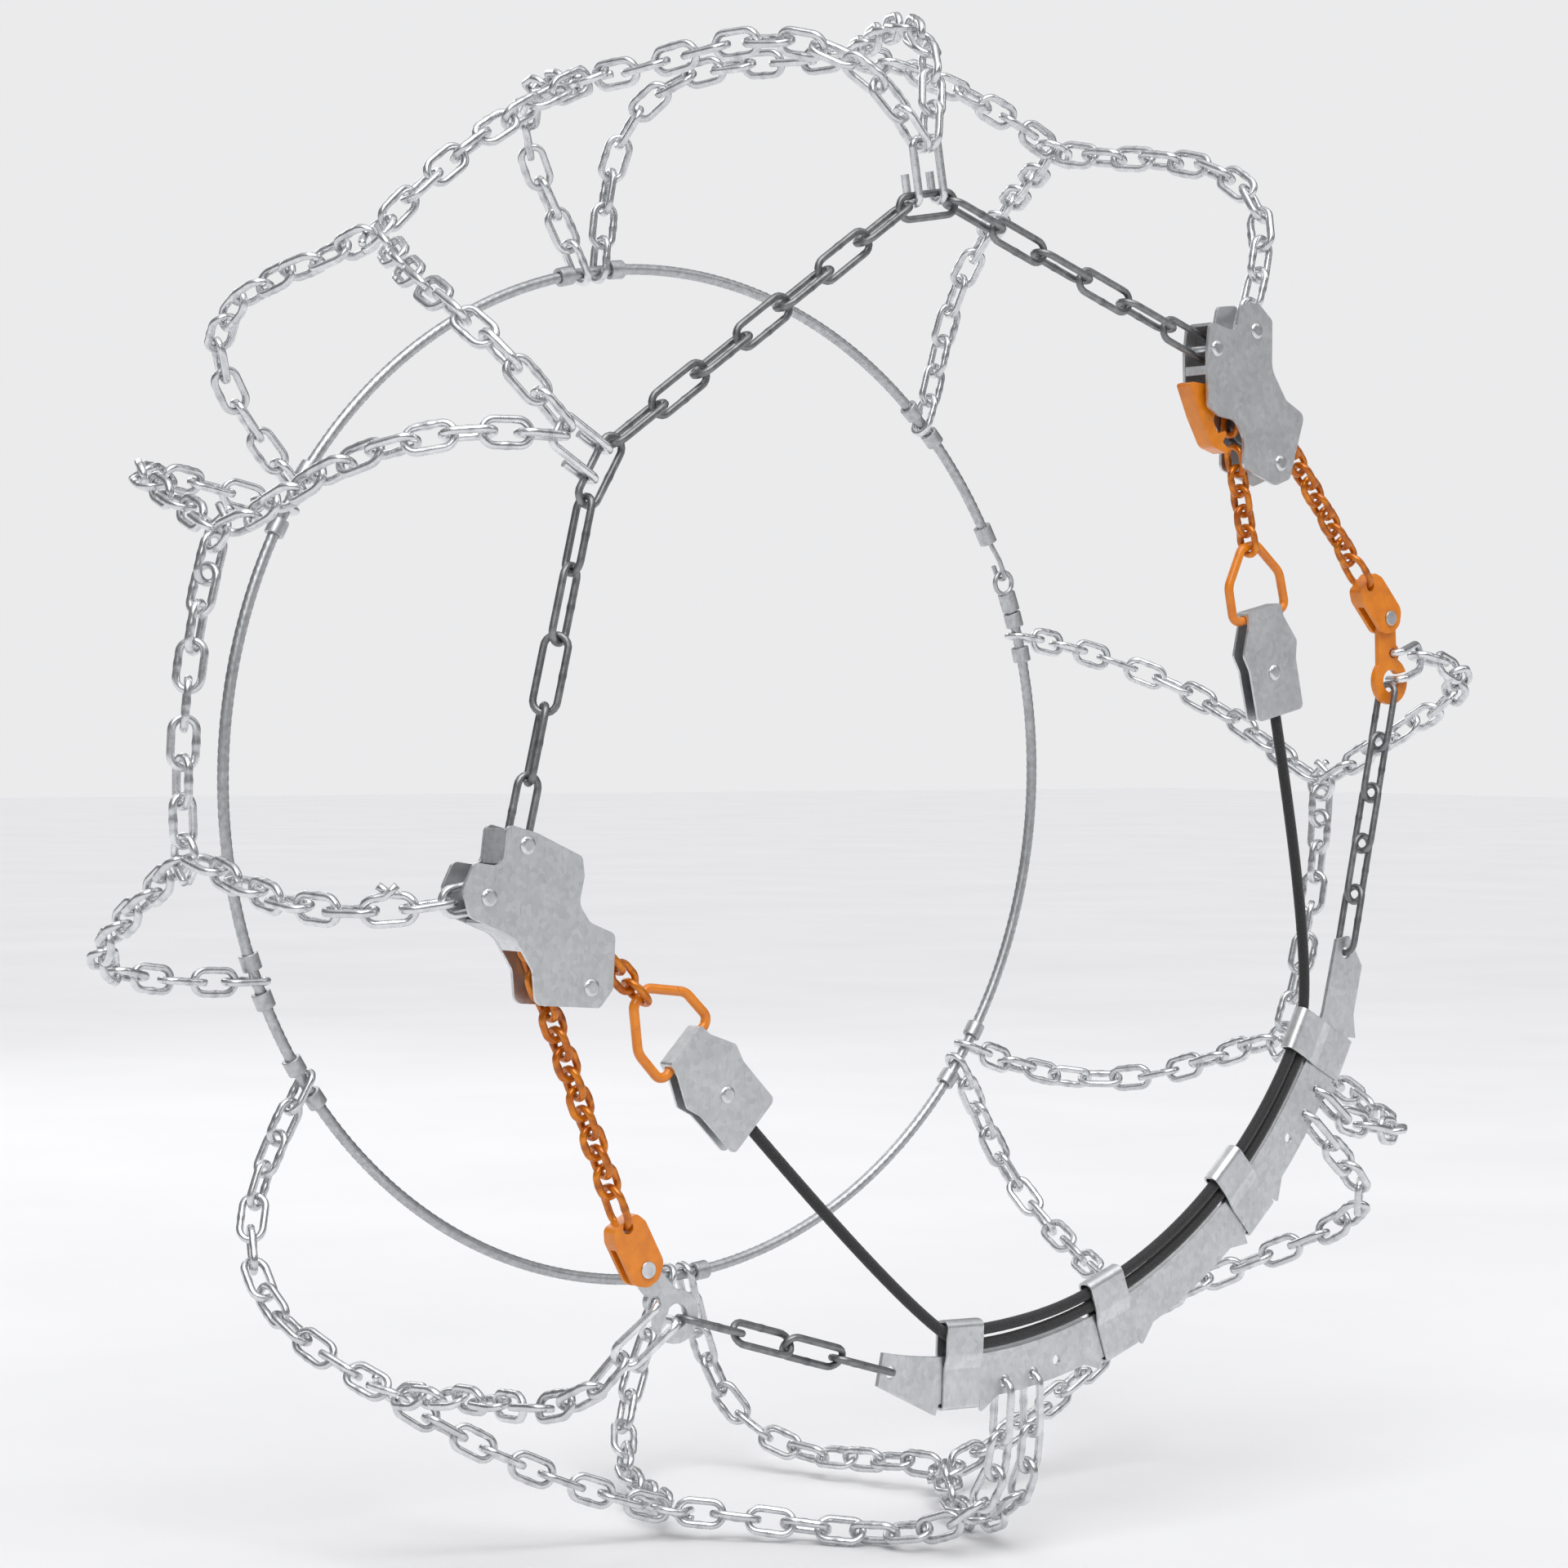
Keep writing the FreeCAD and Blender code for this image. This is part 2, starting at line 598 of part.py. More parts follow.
# Housing outline: distance along and across the housing from the side-chain rivet, corner radius.
HOUSING = [(-12, 4, 3), (-2, -6, 6), (17, -20, 3), (24, -17, 4), (32, -9.5, 6), (41, -10.5, 5), (51, -18.5, 3),
           (69, -7, 3), (72, 2, 3), (55, 27, 4), (43, 21.5, 5), (27, 22.5, 12), (10, 36, 3), (-1, 33.5, 4),
           (-7, 24, 3), (1, 14, 4)]
# Walls bent from the front plate towards the back plate, as outlines with corner radii.
FLANGES = [
    [(2.4, -9.3, 0.2), (5.6, -11.6, 0.2), (6.4, -10.4, 0.2), (3.2, -8.1, 0.2)],
    [(-10.5, 5.2, 0.2), (0.2, 13.4, 0.2), (1.1, 12.2, 0.2), (-9.6, 4.0, 0.2)],
    [(16.0, 31.1, 0.2), (27.0, 22.5, 12), (34.0, 22.1, 0.2), (34.0, 20.6, 0.2), (26.4, 21.0, 13.5),
     (15.1, 29.9, 0.2)],
]
# The right lever stands open; the left one lies closed inside its housing.
LEVERS = {
    "right": [(12.4, -9.8, 3), (5.2, -17.4, 1.2), (4.0, -20.2, 1.2), (19, -23.8, 9), (34, -25.8, 6),
              (42.5, -19.6, 1.2), (41.0, -18.0, 0.8), (36.2, -19.2, 0.8), (35.2, -15.0, 0.6),
              (33.2, -15.0, 0.6), (31.6, -19.4, 1.5), (25.0, -18.0, 3), (22.0, -9.8, 3)],
    "left": [(12.4, -9.8, 3), (12.2, -16.6, 3), (17.6, -18.4, 3), (23.6, -15.6, 2), (29.2, -10.9, 0.8),
             (28.4, -9.4, 0.6), (26.4, -9.8, 0.6), (23.6, -12.4, 1.0), (21.8, -9.8, 1.5)],
}


def housing_plate(side, label, height):
    hand = RATCHETS[side]["hand"]
    body = doc.addObject("PartDesign::Body", label)
    sketch = add_sketch(body, label + "_outline")
    draw_outline(sketch, HOUSING, hand)
    for along, across in ((0, 0), STRAND_RIVET, EXIT_RIVET):
        draw_hole(sketch, along, hand * across, "rivet_shank")
    add_pad(body, sketch, "dims.plate_thick")
    if label.endswith("front_plate_" + side):
        for number, outline in enumerate(FLANGES, start=1):
            wall = add_sketch(body, f"{label}_wall_{number}")
            draw_outline(wall, outline, hand)
            add_pad(body, wall, "dims.plate_gap - 0.3", reverse=True)
    body.Placement = housing_frame(side) * Placement(Vector(0, 0, height), Rotation())
    return keep(body, label)


def rivet_body(name, half_grip):
    """Rivet with two domed heads, standing along Z about its middle."""
    shank, head, cap = dim["rivet_shank"], dim["rivet_head"], 1.3
    return turned_body(name, [(0, -half_grip - cap), (head * 0.6, -half_grip - cap), (head, -half_grip - 0.4),
                              (head, -half_grip), (shank, -half_grip), (shank, half_grip), (head, half_grip),
                              (head, half_grip + 0.4), (head * 0.6, half_grip + cap), (0, half_grip + cap)])


def pin_body(name, radius, half_length):
    return turned_body(name, [(0, -half_length), (radius, -half_length), (radius, half_length), (0, half_length)])


def build_ratchet(side):
    hand = RATCHETS[side]["hand"]
    half_gap = dim["plate_gap"] / 2
    housing_plate(side, f"ratchet_front_plate_{side}", half_gap)
    housing_plate(side, f"ratchet_back_plate_{side}", -half_gap - dim["plate_thick"])

    def at(place):
        return housing_frame(side) * Placement(Vector(place[0], hand * place[1], 0), Rotation())

    pieces = []
    for number, place in enumerate(((0, 0), STRAND_RIVET, EXIT_RIVET), start=1):
        rivet = rivet_body(f"ratchet_rivet_{number}_{side}", half_gap + dim["plate_thick"])
        rivet.Placement = at(place)
        pieces.append(rivet)
    for name, place in (("sheave_pin", SHEAVE), ("lever_pin", LEVER_PIVOT)):
        pin = pin_body(f"{name}_{side}", dim["pivot_radius"], half_gap)
        pin.Placement = at(place)
        pieces.append(pin)
    group = doc.addObject("Part::Compound", f"ratchet_pins_{side}")
    group.Links = pieces
    keep(group, f"ratchet_pins_{side}")

    bore, groove, flange = dim["pivot_radius"] + dim["running_gap"], dim["sheave_groove"], dim["sheave_flange"]
    half, slot = dim["sheave_width"] / 2, dim["sheave_slot"] / 2
    wheel = turned_body(f"chain_wheel_{side}", [(bore, -half), (flange, -half), (flange, -slot - 0.7), (groove, -slot),
                                                (groove, slot), (flange, slot + 0.7), (flange, half), (bore, half)])
    wheel.Placement = at(SHEAVE)
    keep(wheel, f"chain_wheel_{side}")

    lever = doc.addObject("PartDesign::Body", f"release_lever_{side}")
    sketch = add_sketch(lever, f"lever_outline_{side}")
    draw_outline(sketch, LEVERS[side], hand)
    add_pad(lever, sketch, "dims.lever_width", middle=True)
    bore_sketch = add_sketch(lever, f"lever_bore_{side}")
    draw_hole(bore_sketch, LEVER_PIVOT[0], hand * LEVER_PIVOT[1], "pivot_radius")
    bore_sketch.setExpression("Constraints[0]", "dims.pivot_radius + dims.running_gap")
    add_pocket(lever, bore_sketch, "dims.lever_width * 2")
    lever.Placement = housing_frame(side)
    keep(lever, f"release_lever_{side}")

    coil = Part.makeHelix(dim["spring_wire"] * 1.1, dim["spring_wire"] * 1.1, dim["spring_radius"] - 0.8)
    start = coil.Edges[0].valueAt(coil.Edges[0].FirstParameter)
    heading = coil.Edges[0].tangentAt(coil.Edges[0].FirstParameter)
    section = Part.Wire(Part.makeCircle(dim["spring_wire"] / 2 - 0.03, start, heading))
    spring = coil.makePipeShell([section], True, True)
    coded_part(f"lever_spring_{side}", [spring],
               at(LEVER_PIVOT) * Placement(Vector(0, 0, dim["lever_width"] / 2 + 0.46), Rotation()))


# ---------------------------------------------------------------- tension chain, clips and corner hooks

def tangent_point(outside, centre, radius, hand):
    """Where a line from a point touches a circle in the wheel's plane, on one hand of the line."""
    away = outside - centre
    base = math.degrees(math.atan2(away.z, away.x))
    spread = math.degrees(math.acos(radius / away.Length))
    return centre + direction(base + hand * spread) * radius


EYE_HOLE_BACK = 19.5


def clip_eye(side):
    """Centre of the hole where the tension chain's last link holds the clip."""
    corner = CORNERS[side]
    pin = Vector(corner["pin"][0], SIDE_Y, corner["pin"][1])
    return pin - direction(corner["clip"]) * EYE_HOLE_BACK


CORD_ENTRIES = {"left": -95.4, "right": -21.6}


def cord_entry(side):
    """Corner of the cord's route where it turns into its track along the arc plate."""
    angle = CORD_ENTRIES[side]
    return on_arc(angle, CORD_TRACKS[side] / math.cos(math.radians(4.0)))


def pull_line(side):
    """Point where the free end of the tension chain leaves the wheel, and its direction."""
    centre = in_housing(side, SHEAVE)
    start = tangent_point(cord_entry(side), centre, dim["sheave_path"], RATCHETS[side]["hand"] * -1)
    return start, (cord_entry(side) - start).normalize()


RING_APEX = {"left": 46.0, "right": 54.1}
RING_BASE = 31.5


def build_tension_chain(side):
    hand = RATCHETS[side]["hand"]
    centre = in_housing(side, SHEAVE)
    radius = dim["sheave_path"]
    eye = clip_eye(side)
    on_wheel = tangent_point(eye, centre, radius, hand)
    wire_reach = (dim["pull_wire"] + dim["link_play"]) / 2
    heading = (on_wheel - eye).normalize()
    first = eye + heading * wire_reach
    second = first + heading * dim["eye_pitch"]
    tail_start, tail_heading = pull_line(side)
    angles = []
    for point in (on_wheel, tail_start):
        away = point - centre
        angles.append(math.degrees(math.atan2(away.z, away.x)))
    sweep = (angles[1] - angles[0]) * hand % 360 * hand
    arc = [centre + direction(angles[0] + sweep * k / 60) * radius for k in range(61)]
    path = [second] + arc
    count = math.ceil(length_of(path) / dim["pull_pitch"])
    links = [placed_link(EYE_LINK, first, second, OUT, UPRIGHT)]
    links += chain(PULL_LINK, spaced(path, count), outwards, FLAT, UPRIGHT)
    coded_part(f"tension_chain_{side}", links)

    apex = tail_start + tail_heading * RING_APEX[side]
    tail_count = int((RING_APEX[side] - dim["pull_pitch"]) / dim["pull_pitch"])
    tail = side_run(apex - tail_heading * (tail_count * dim["pull_pitch"]), apex, tail_count)
    coded_part(f"free_chain_{side}", chain(PULL_LINK, tail, outwards, FLAT if tail_count % 2 == 0 else UPRIGHT, UPRIGHT))


def build_clip(side):
    corner = CORNERS[side]
    thick = dim["clip_thick"]
    length, half = dim["clip_length"], dim["clip_width"] / 2
    body = doc.addObject("PartDesign::Body", f"chain_clip_{side}")
    sketch = add_sketch(body, f"clip_outline_{side}")
    back = 6.5 - length
    draw_outline(sketch, [(back, -half * 0.72, 3), (back + 5, -half, 4), (2, -half, 6), (6.5, -3, 5), (6.5, 3, 5),
                          (2, half, 6), (back + 5, half, 4), (back, half * 0.72, 3)])
    draw_hole(sketch, 0, 0, "clip_pin")
    draw_hole(sketch, -EYE_HOLE_BACK, 0, "clip_pin")
    add_pad(body, sketch, "dims.clip_thick", middle=True)
    slot = add_sketch(body, f"clip_slot_{side}", "XZ_Plane")
    draw_outline(slot, [(-14, -dim["clip_slot"] / 2, 0.5), (8, -dim["clip_slot"] / 2, 0.5),
                        (8, dim["clip_slot"] / 2, 0.5), (-14, dim["clip_slot"] / 2, 0.5)])
    add_pocket(body, slot, "dims.clip_width * 2")
    body.Placement = flat_frame(corner["pin"], corner["clip"])
    keep(body, f"chain_clip_{side}")

    hook = doc.addObject("PartDesign::Body", f"corner_hook_{side}")
    place = flat_frame(corner["pin"], corner["angle"])
    reach, turn = corner["reach"], corner["hand"]
    foot = shackle_foot(side)
    slant = (shackle_end(side) - foot).normalize()
    across = OUT.cross(slant).normalize()
    holes = [place.inverse().multVec(foot + across * (sign * dim["shackle_half"])) for sign in (1, -1)]
    inner, outer = sorted(holes, key=lambda point: (point - Vector(reach, 0, 0)).Length)
    tongue = add_sketch(hook, f"hook_tongue_{side}")
    lean = -1.7 if outer.y > 0 else 1.7
    draw_outline(tongue, [(-5.5, -4.6, 4), (-5.5, 4.6, 4), (6, 5.6, 3), (reach, lean + 6.0, 3),
                          (reach, lean - 6.0, 3), (6, -5.6, 3)])
    add_pad(hook, tongue, "dims.hook_plate", middle=True)
    lobe = add_sketch(hook, f"hook_lobe_{side}")
    lobe.addGeometry(Part.Circle(Vector(outer.x, outer.y, 0), Vector(0, 0, 1), LEG_LOBE), False)
    add_pad(hook, lobe, "dims.hook_plate", middle=True)
    rim = add_sketch(hook, f"hook_rim_{side}")
    rim.addGeometry(Part.Circle(Vector(reach, 0, 0), Vector(0, 0, 1), EYE_RIM), False)
    add_pad(hook, rim, "dims.hook_plate", middle=True)
    holes_sketch = add_sketch(hook, f"hook_holes_{side}")
    draw_hole(holes_sketch, 0, 0, "clip_pin")
    holes_sketch.addGeometry(Part.Circle(Vector(reach, 0, 0), Vector(0, 0, 1), EYE_HOLE), False)
    holes_sketch.addGeometry(Part.Circle(Vector(outer.x, outer.y, 0), Vector(0, 0, 1), LEG_HOLE), False)
    add_pocket(hook, holes_sketch, "dims.hook_plate * 2")
    mouth = add_sketch(hook, f"hook_mouth_{side}")
    heading = place.Rotation.inverted().multVec(slant)
    heading = Vector(heading.x, heading.y, 0).normalize()
    aside = Vector(-heading.y, heading.x, 0) * LEG_HOLE
    ends = [inner, inner + heading * (2 * EYE_RIM)]
    outline = [ends[0] - aside, ends[1] - aside, ends[1] + aside, ends[0] + aside]
    draw_outline(mouth, [(point.x, point.y, 0.3) for point in outline])
    add_pocket(hook, mouth, "dims.hook_plate * 2")
    hook.Placement = place
    keep(hook, f"corner_hook_{side}")

    grip = thick / 2
    pin = turned_body(f"clip_pin_{side}", [(0, -grip - 1), (3.4, -grip - 1), (3.4, -grip), (2.38, -grip), (2.38, grip),
                                           (3.4, grip), (3.4, grip + 1), (0, grip + 1)])
    pin.Placement = place
    return pin


# ---------------------------------------------------------------- pull rings, brackets and cords

def build_pull(side):
    start, heading = pull_line(side)
    apex = start + heading * (RING_APEX[side] - dim["ring_wire"] / 2)
    place = frame(apex, heading, OUT)
    outline = [(0, -4.6, 4.4), (0, 4.6, 4.4), (15, 16.4, 8), (RING_BASE, 16.8, 4), (RING_BASE, -16.8, 4),
               (15, -16.4, 8)]
    path = rounded_path([(Vector(x, y, 0), radius) for x, y, radius in outline], closed=True)
    coded_part(f"pull_ring_{side}", [tube(path, dim["ring_wire"])], place)

    body = doc.addObject("PartDesign::Body", f"pull_bracket_{side}")
    sketch = add_sketch(body, f"bracket_outline_{side}")
    length = dim["bracket_length"]
    draw_outline(sketch, [(0, -10.6, 1.5), (0, 10.6, 1.5), (6, 11.2, 4), (18.5, 17.2, 2.5), (26, 14.8, 4),
                          (length, 14.6, 2.5), (length, -14.6, 2.5), (26, -14.8, 4), (18.5, -17.2, 2.5),
                          (6, -11.2, 4)])
    add_pad(body, sketch, "dims.bracket_thick", middle=True)
    bore = add_sketch(body, f"bracket_bore_{side}")
    draw_hole(bore, BRACKET_RIVET, 0, "rivet_shank")
    add_pocket(body, bore, "dims.bracket_thick * 2")
    slot = add_sketch(body, f"bracket_slot_{side}", "XZ_Plane")
    half = dim["bracket_slot"] / 2
    draw_outline(slot, [(1.3, -half, 2.4), (length + 2, -half, 0.5), (length + 2, half, 0.5), (1.3, half, 2.4)])
    add_pocket(body, slot, "dims.bracket_length * 2")
    body.Placement = bracket_frame(side)
    keep(body, f"pull_bracket_{side}")

    rivet = rivet_body(f"bracket_rivet_{side}", dim["bracket_thick"] / 2)
    rivet.Placement = bracket_frame(side) * Placement(Vector(BRACKET_RIVET, 0, 0), Rotation())
    keep(rivet, f"bracket_rivet_{side}")


BRACKET_RIVET = 29.5
CORD_START = 34.5


def bracket_frame(side):
    start, heading = pull_line(side)
    back = RING_APEX[side] + RING_BASE - dim["ring_wire"] - 1.6
    return frame(start + heading * back, heading, OUT)


# Angles of the corners of each cord's route along the arc plate, from where it enters to its end.
CORD_ANGLES = {"left": (-86.0, -74.0, -62.0, -50.0, -38.0, -29.6), "right": (-34.0, -46.0, -58.0, -70.0, -82.0, -90.2)}


def cord_route(side):
    """Corners of the elastic cord's route, from the bracket to its anchor in the far clip."""
    first = bracket_frame(side).multVec(Vector(CORD_START, 0, 0))
    track = CORD_TRACKS[side]
    polygon = track / math.cos(math.radians(6.0))
    angles = CORD_ANGLES[side]
    return ([first, cord_entry(side)] + [on_arc(angle, polygon) for angle in angles[:-1]]
            + [on_arc(angles[-1], track)])


def build_cord(side):
    points = cord_route(side)
    corners = [(points[0], 0)]
    for before, here, after in zip(points, points[1:], points[2:]):
        turn = (here - before).getAngle(after - here)
        shorter = min((here - before).Length, (after - here).Length)
        corners.append((here, 0.45 * shorter / math.tan(turn / 2)))
        print(f"pull_cord_{side}: bend radius {corners[-1][1]:.0f}")
    corners.append((points[-1], 0))
    path = rounded_path(corners)
    solid = tube(path, dim["cord_diameter"])
    section = math.pi * dim["cord_diameter"] ** 2 / 4
    print(f"pull_cord_{side}: length {path.Length:.1f}, volume ratio {solid.Volume / (section * path.Length):.4f}")
    for point in points:
        print(f"    ({point.x / 1000:.4f}, {point.y / 1000:.4f}, {point.z / 1000:.4f})")
    coded_part(f"pull_cord_{side}", [solid])


# ---------------------------------------------------------------- arc plate and its clips

def build_arc_plate():
    inner, outer, ear = dim["arc_inner"], dim["arc_outer"], dim["arc_ear"]

    def at(angle, radius):
        point = polar(angle, radius)
        return Vector(point.x, point.z, 0)

    def arc(radius, first, last):
        return Part.Arc(at(first, radius), at((first + last) / 2, radius), at(last, radius))

    body = doc.addObject("PartDesign::Body", "arc_plate")
    sketch = add_sketch(body, "arc_outline")
    here = at(ARC_END, 245.5)
    edges = [Part.LineSegment(at(ARC_END, inner), here)]
    for number, middle in enumerate(ARC_CLIPS):
        if number:
            start = middle - 5.0
            edges.append(arc(outer, last_angle, start))
            here = at(start, outer)
        for angle, radius in ((middle - 2.9, ear), (middle - 2.6, outer + 1.0)):
            edges.append(Part.LineSegment(here, at(angle, radius)))
            here = at(angle, radius)
        edges.append(arc(outer + 1.0, middle - 2.6, middle + 2.6))
        here = at(middle + 2.6, outer + 1.0)
        for angle, radius in ((middle + 2.9, ear), (middle + 5.0, outer)):
            edges.append(Part.LineSegment(here, at(angle, radius)))
            here = at(angle, radius)
        last_angle = middle + 5.0
    for angle, radius in ((-18.0, 247.5), (-15.4, 235.5), (-16.2, 228.0), (-24.6, inner)):
        edges.append(Part.LineSegment(here, at(angle, radius)))
        here = at(angle, radius)
    edges.append(arc(inner, -24.6, ARC_END))
    for edge in edges:
        sketch.addGeometry(edge, False)
    add_pad(body, sketch, "dims.arc_thick", middle=True)
    holes = add_sketch(body, "arc_holes")
    for name, (angle, radius) in ARC_HOLES.items():
        centre = at(angle, radius)
        hole = 2.2 if "spare" in name else 2.7
        holes.addGeometry(Part.Circle(centre, Vector(0, 0, 1), hole), False)
    add_pocket(body, holes, "dims.arc_thick * 3")
    for number, (first, last) in enumerate(((-88.6, -73.8), (-67.0, -51.1), (-44.3, -31.6)), start=1):
        lip = add_sketch(body, f"arc_lip_{number}")
        for edge in (arc(inner, first, last), Part.LineSegment(at(last, inner), at(last, inner + 1.6)),
                     arc(inner + 1.6, last, first), Part.LineSegment(at(first, inner + 1.6), at(first, inner))):
            lip.addGeometry(edge, False)
        add_pad(body, lip, "dims.arc_thick * 3.5", reverse=True)
    body.Placement = flat_frame(ARC_CENTRE, 0.0)
    keep(body, "arc_plate")

    clips = []
    for number, middle in enumerate(ARC_CLIPS, start=1):
        clip = doc.addObject("PartDesign::Body", f"arc_clip_{number}")
        wrap = add_sketch(clip, f"wrap_{number}", "XZ_Plane")
        sheet_thick, cord, plate = dim["loop_sheet"], dim["cord_diameter"] / 2 + 0.3, dim["arc_thick"] / 2 + 0.25
        bottom, step, top = 217.4, 230.6, 252.6
        draw_outline(wrap, [(bottom - sheet_thick, -cord - sheet_thick, 3.2), (step, -cord - sheet_thick, 3),
                            (step + 6, -plate - sheet_thick, 3), (top + sheet_thick, -plate - sheet_thick, 1.8),
                            (top + sheet_thick, plate + sheet_thick, 1.8), (step + 6, plate + sheet_thick, 3),
                            (step, cord + sheet_thick, 3), (bottom - sheet_thick, cord + sheet_thick, 3.2)])
        draw_outline(wrap, [(bottom, -cord, 2), (step, -cord, 1.8), (step + 6, -plate, 1.8), (top, -plate, 0.6),
                            (top, plate, 0.6), (step + 6, plate, 1.8), (step, cord, 1.8), (bottom, cord, 2)])
        add_pad(clip, wrap, "dims.loop_width", middle=True)
        clip.Placement = flat_frame(ARC_CENTRE, middle)
        clips.append(clip)
    group = doc.addObject("Part::Compound", "arc_clips")
    group.Links = clips
    keep(group, "arc_clips")


# ---------------------------------------------------------------- inner hoop

HOOP_OPEN = (22.0, 30.0)


def build_hoop():
    """Steel cable behind the tyre, its end fittings, and a crimped sleeve on each side of every strand."""
    first, last = HOOP_OPEN
    place = frame(Vector(0, dim["hoop_plane"], 0), direction(last), OUT)
    span = 360.0 - (last - first)
    hoop = Part.makeTorus(dim["hoop_radius"], dim["hoop_wire"] / 2, Vector(), Vector(0, 0, 1), -180, 180, span)
    coded_part("inner_hoop", [hoop], place)
    sleeve = Part.makeTorus(dim["hoop_radius"], dim["sleeve_radius"], Vector(), Vector(0, 0, 1), -180, 180, 1.8)
    core = Part.makeTorus(dim["hoop_radius"], dim["hoop_wire"] / 2, Vector(), Vector(0, 0, 1), -180, 180, 3.0)
    sleeve = sleeve.cut(core)
    sleeves = []
    spots = sorted(set(HOOP_ANGLES.values()))
    for angle in spots:
        for offset in (-3.1, 1.3):
            if any(other != angle and abs(other - angle) < 3.5 and (other - angle) * offset > 0 for other in spots):
                continue
            turn = frame(Vector(0, dim["hoop_plane"], 0), direction(angle + offset), OUT)
            sleeves.append(sleeve.transformed(turn.toMatrix(), True))
    coded_part("hoop_sleeves", sleeves)
    coded_part("hoop_coupling", [coupling_half(first, -1), coupling_half(last, 1)])


def coupling_half(angle, hand):
    """End fitting of the hoop: a ferrule with an eye on one end of the cable and a hook on the other."""
    ferrule = Part.makeTorus(dim["hoop_radius"], dim["sleeve_radius"], Vector(), Vector(0, 0, 1), -180, 180, 2.2)
    core = Part.makeTorus(dim["hoop_radius"], dim["hoop_wire"] / 2, Vector(), Vector(0, 0, 1), -180, 180, 3.0)
    lowest = angle - 1.6 if hand < 0 else angle - 0.6
    plane = Vector(0, dim["hoop_plane"], 0)
    ferrule = ferrule.transformed(frame(plane, direction(lowest), OUT).toMatrix(), True)
    core = core.transformed(frame(plane, direction(angle - 3.0 if hand < 0 else angle), OUT).toMatrix(), True)
    ferrule = ferrule.cut(core)
    middle = sum(HOOP_OPEN) / 2
    place = frame(polar(middle, dim["hoop_radius"], dim["hoop_plane"]), direction(middle + 90), OUT)
    if hand < 0:
        fitting = Part.makeTorus(5.5, 1.2, Vector(-8.5, 0, 0), Vector(0, 0, 1))
    else:
        bends = [(15.4, 0, 0), (4.0, 2.9, 2.4), (-6.2, 2.9, 2.4), (-6.2, -2.9, 2.4), (1.0, -2.9, 0)]
        fitting = tube(rounded_path([(Vector(x, 0, z), radius) for x, z, radius in bends]), 2.4)
    return ferrule.fuse(fitting.transformed(place.toMatrix(), True))


# ---------------------------------------------------------------- run

build_net()
build_side_chain()
for side in RATCHETS:
    build_ratchet(side)
    build_tension_chain(side)
    build_pull(side)
    build_cord(side)
pins = [build_clip(side) for side in CORNERS]
pin_group = doc.addObject("Part::Compound", "clip_pins")
pin_group.Links = pins
keep(pin_group, "clip_pins")
coded_part("strand_shackles", [shackle(side) for side in CORNERS])
build_arc_plate()
build_hoop()

doc.recompute()
os.makedirs("parts", exist_ok=True)
for feature in nodes:
    if "Invalid" in feature.State or "Error" in feature.State:
        raise RuntimeError(f"{feature.Label} is in state {feature.State}")
    if feature.Shape.isNull() or not feature.Shape.isValid():
        raise RuntimeError(f"{feature.Label} has no valid shape")
    feature.Shape.exportStep(f"parts/{feature.Label}.step")
    print(f"{feature.Label}: {len(feature.Shape.Solids)} solids")
print(len(nodes), "sub-parts")
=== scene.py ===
"""Looks of the fitted snow chain: links, cords, cable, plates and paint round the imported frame.

Metres, in the row's frame: the wheel's centre is the origin, -Y is the outer side and +Z is up.
"""
import json
import math
import random

import bpy
import numpy as np
from mathutils import Matrix, Vector


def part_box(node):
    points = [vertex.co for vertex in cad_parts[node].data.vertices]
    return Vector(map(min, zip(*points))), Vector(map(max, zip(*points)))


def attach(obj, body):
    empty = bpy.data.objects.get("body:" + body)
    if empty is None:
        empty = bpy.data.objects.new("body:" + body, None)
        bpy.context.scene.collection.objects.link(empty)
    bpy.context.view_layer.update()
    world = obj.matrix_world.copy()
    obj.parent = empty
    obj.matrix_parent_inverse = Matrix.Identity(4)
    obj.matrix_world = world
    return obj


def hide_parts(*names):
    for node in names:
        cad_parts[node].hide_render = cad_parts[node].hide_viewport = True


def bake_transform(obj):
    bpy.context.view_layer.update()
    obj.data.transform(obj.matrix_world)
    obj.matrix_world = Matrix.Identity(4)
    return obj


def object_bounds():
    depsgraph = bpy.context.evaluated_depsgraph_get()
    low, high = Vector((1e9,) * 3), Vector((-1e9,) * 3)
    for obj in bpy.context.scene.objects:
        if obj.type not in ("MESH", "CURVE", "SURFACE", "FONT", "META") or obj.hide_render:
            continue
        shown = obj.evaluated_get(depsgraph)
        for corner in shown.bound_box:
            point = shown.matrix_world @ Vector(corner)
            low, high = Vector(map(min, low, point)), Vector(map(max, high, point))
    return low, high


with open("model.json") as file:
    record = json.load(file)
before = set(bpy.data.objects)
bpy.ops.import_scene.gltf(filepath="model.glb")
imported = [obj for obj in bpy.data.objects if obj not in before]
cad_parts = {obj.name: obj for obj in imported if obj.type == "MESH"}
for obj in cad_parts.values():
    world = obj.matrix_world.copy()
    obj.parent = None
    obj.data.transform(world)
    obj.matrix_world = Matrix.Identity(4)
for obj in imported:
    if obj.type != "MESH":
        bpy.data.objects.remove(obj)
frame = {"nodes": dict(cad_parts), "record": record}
CAD_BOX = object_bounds()
NODES = frame["nodes"]
BODY_OF = {node: body for body, members in frame["record"]["behaviour"]["bodies"].items() for node in members}
SIDES = ("left", "right")
MM = 0.001


# ---------------------------------------------------------------- camera, light and floor

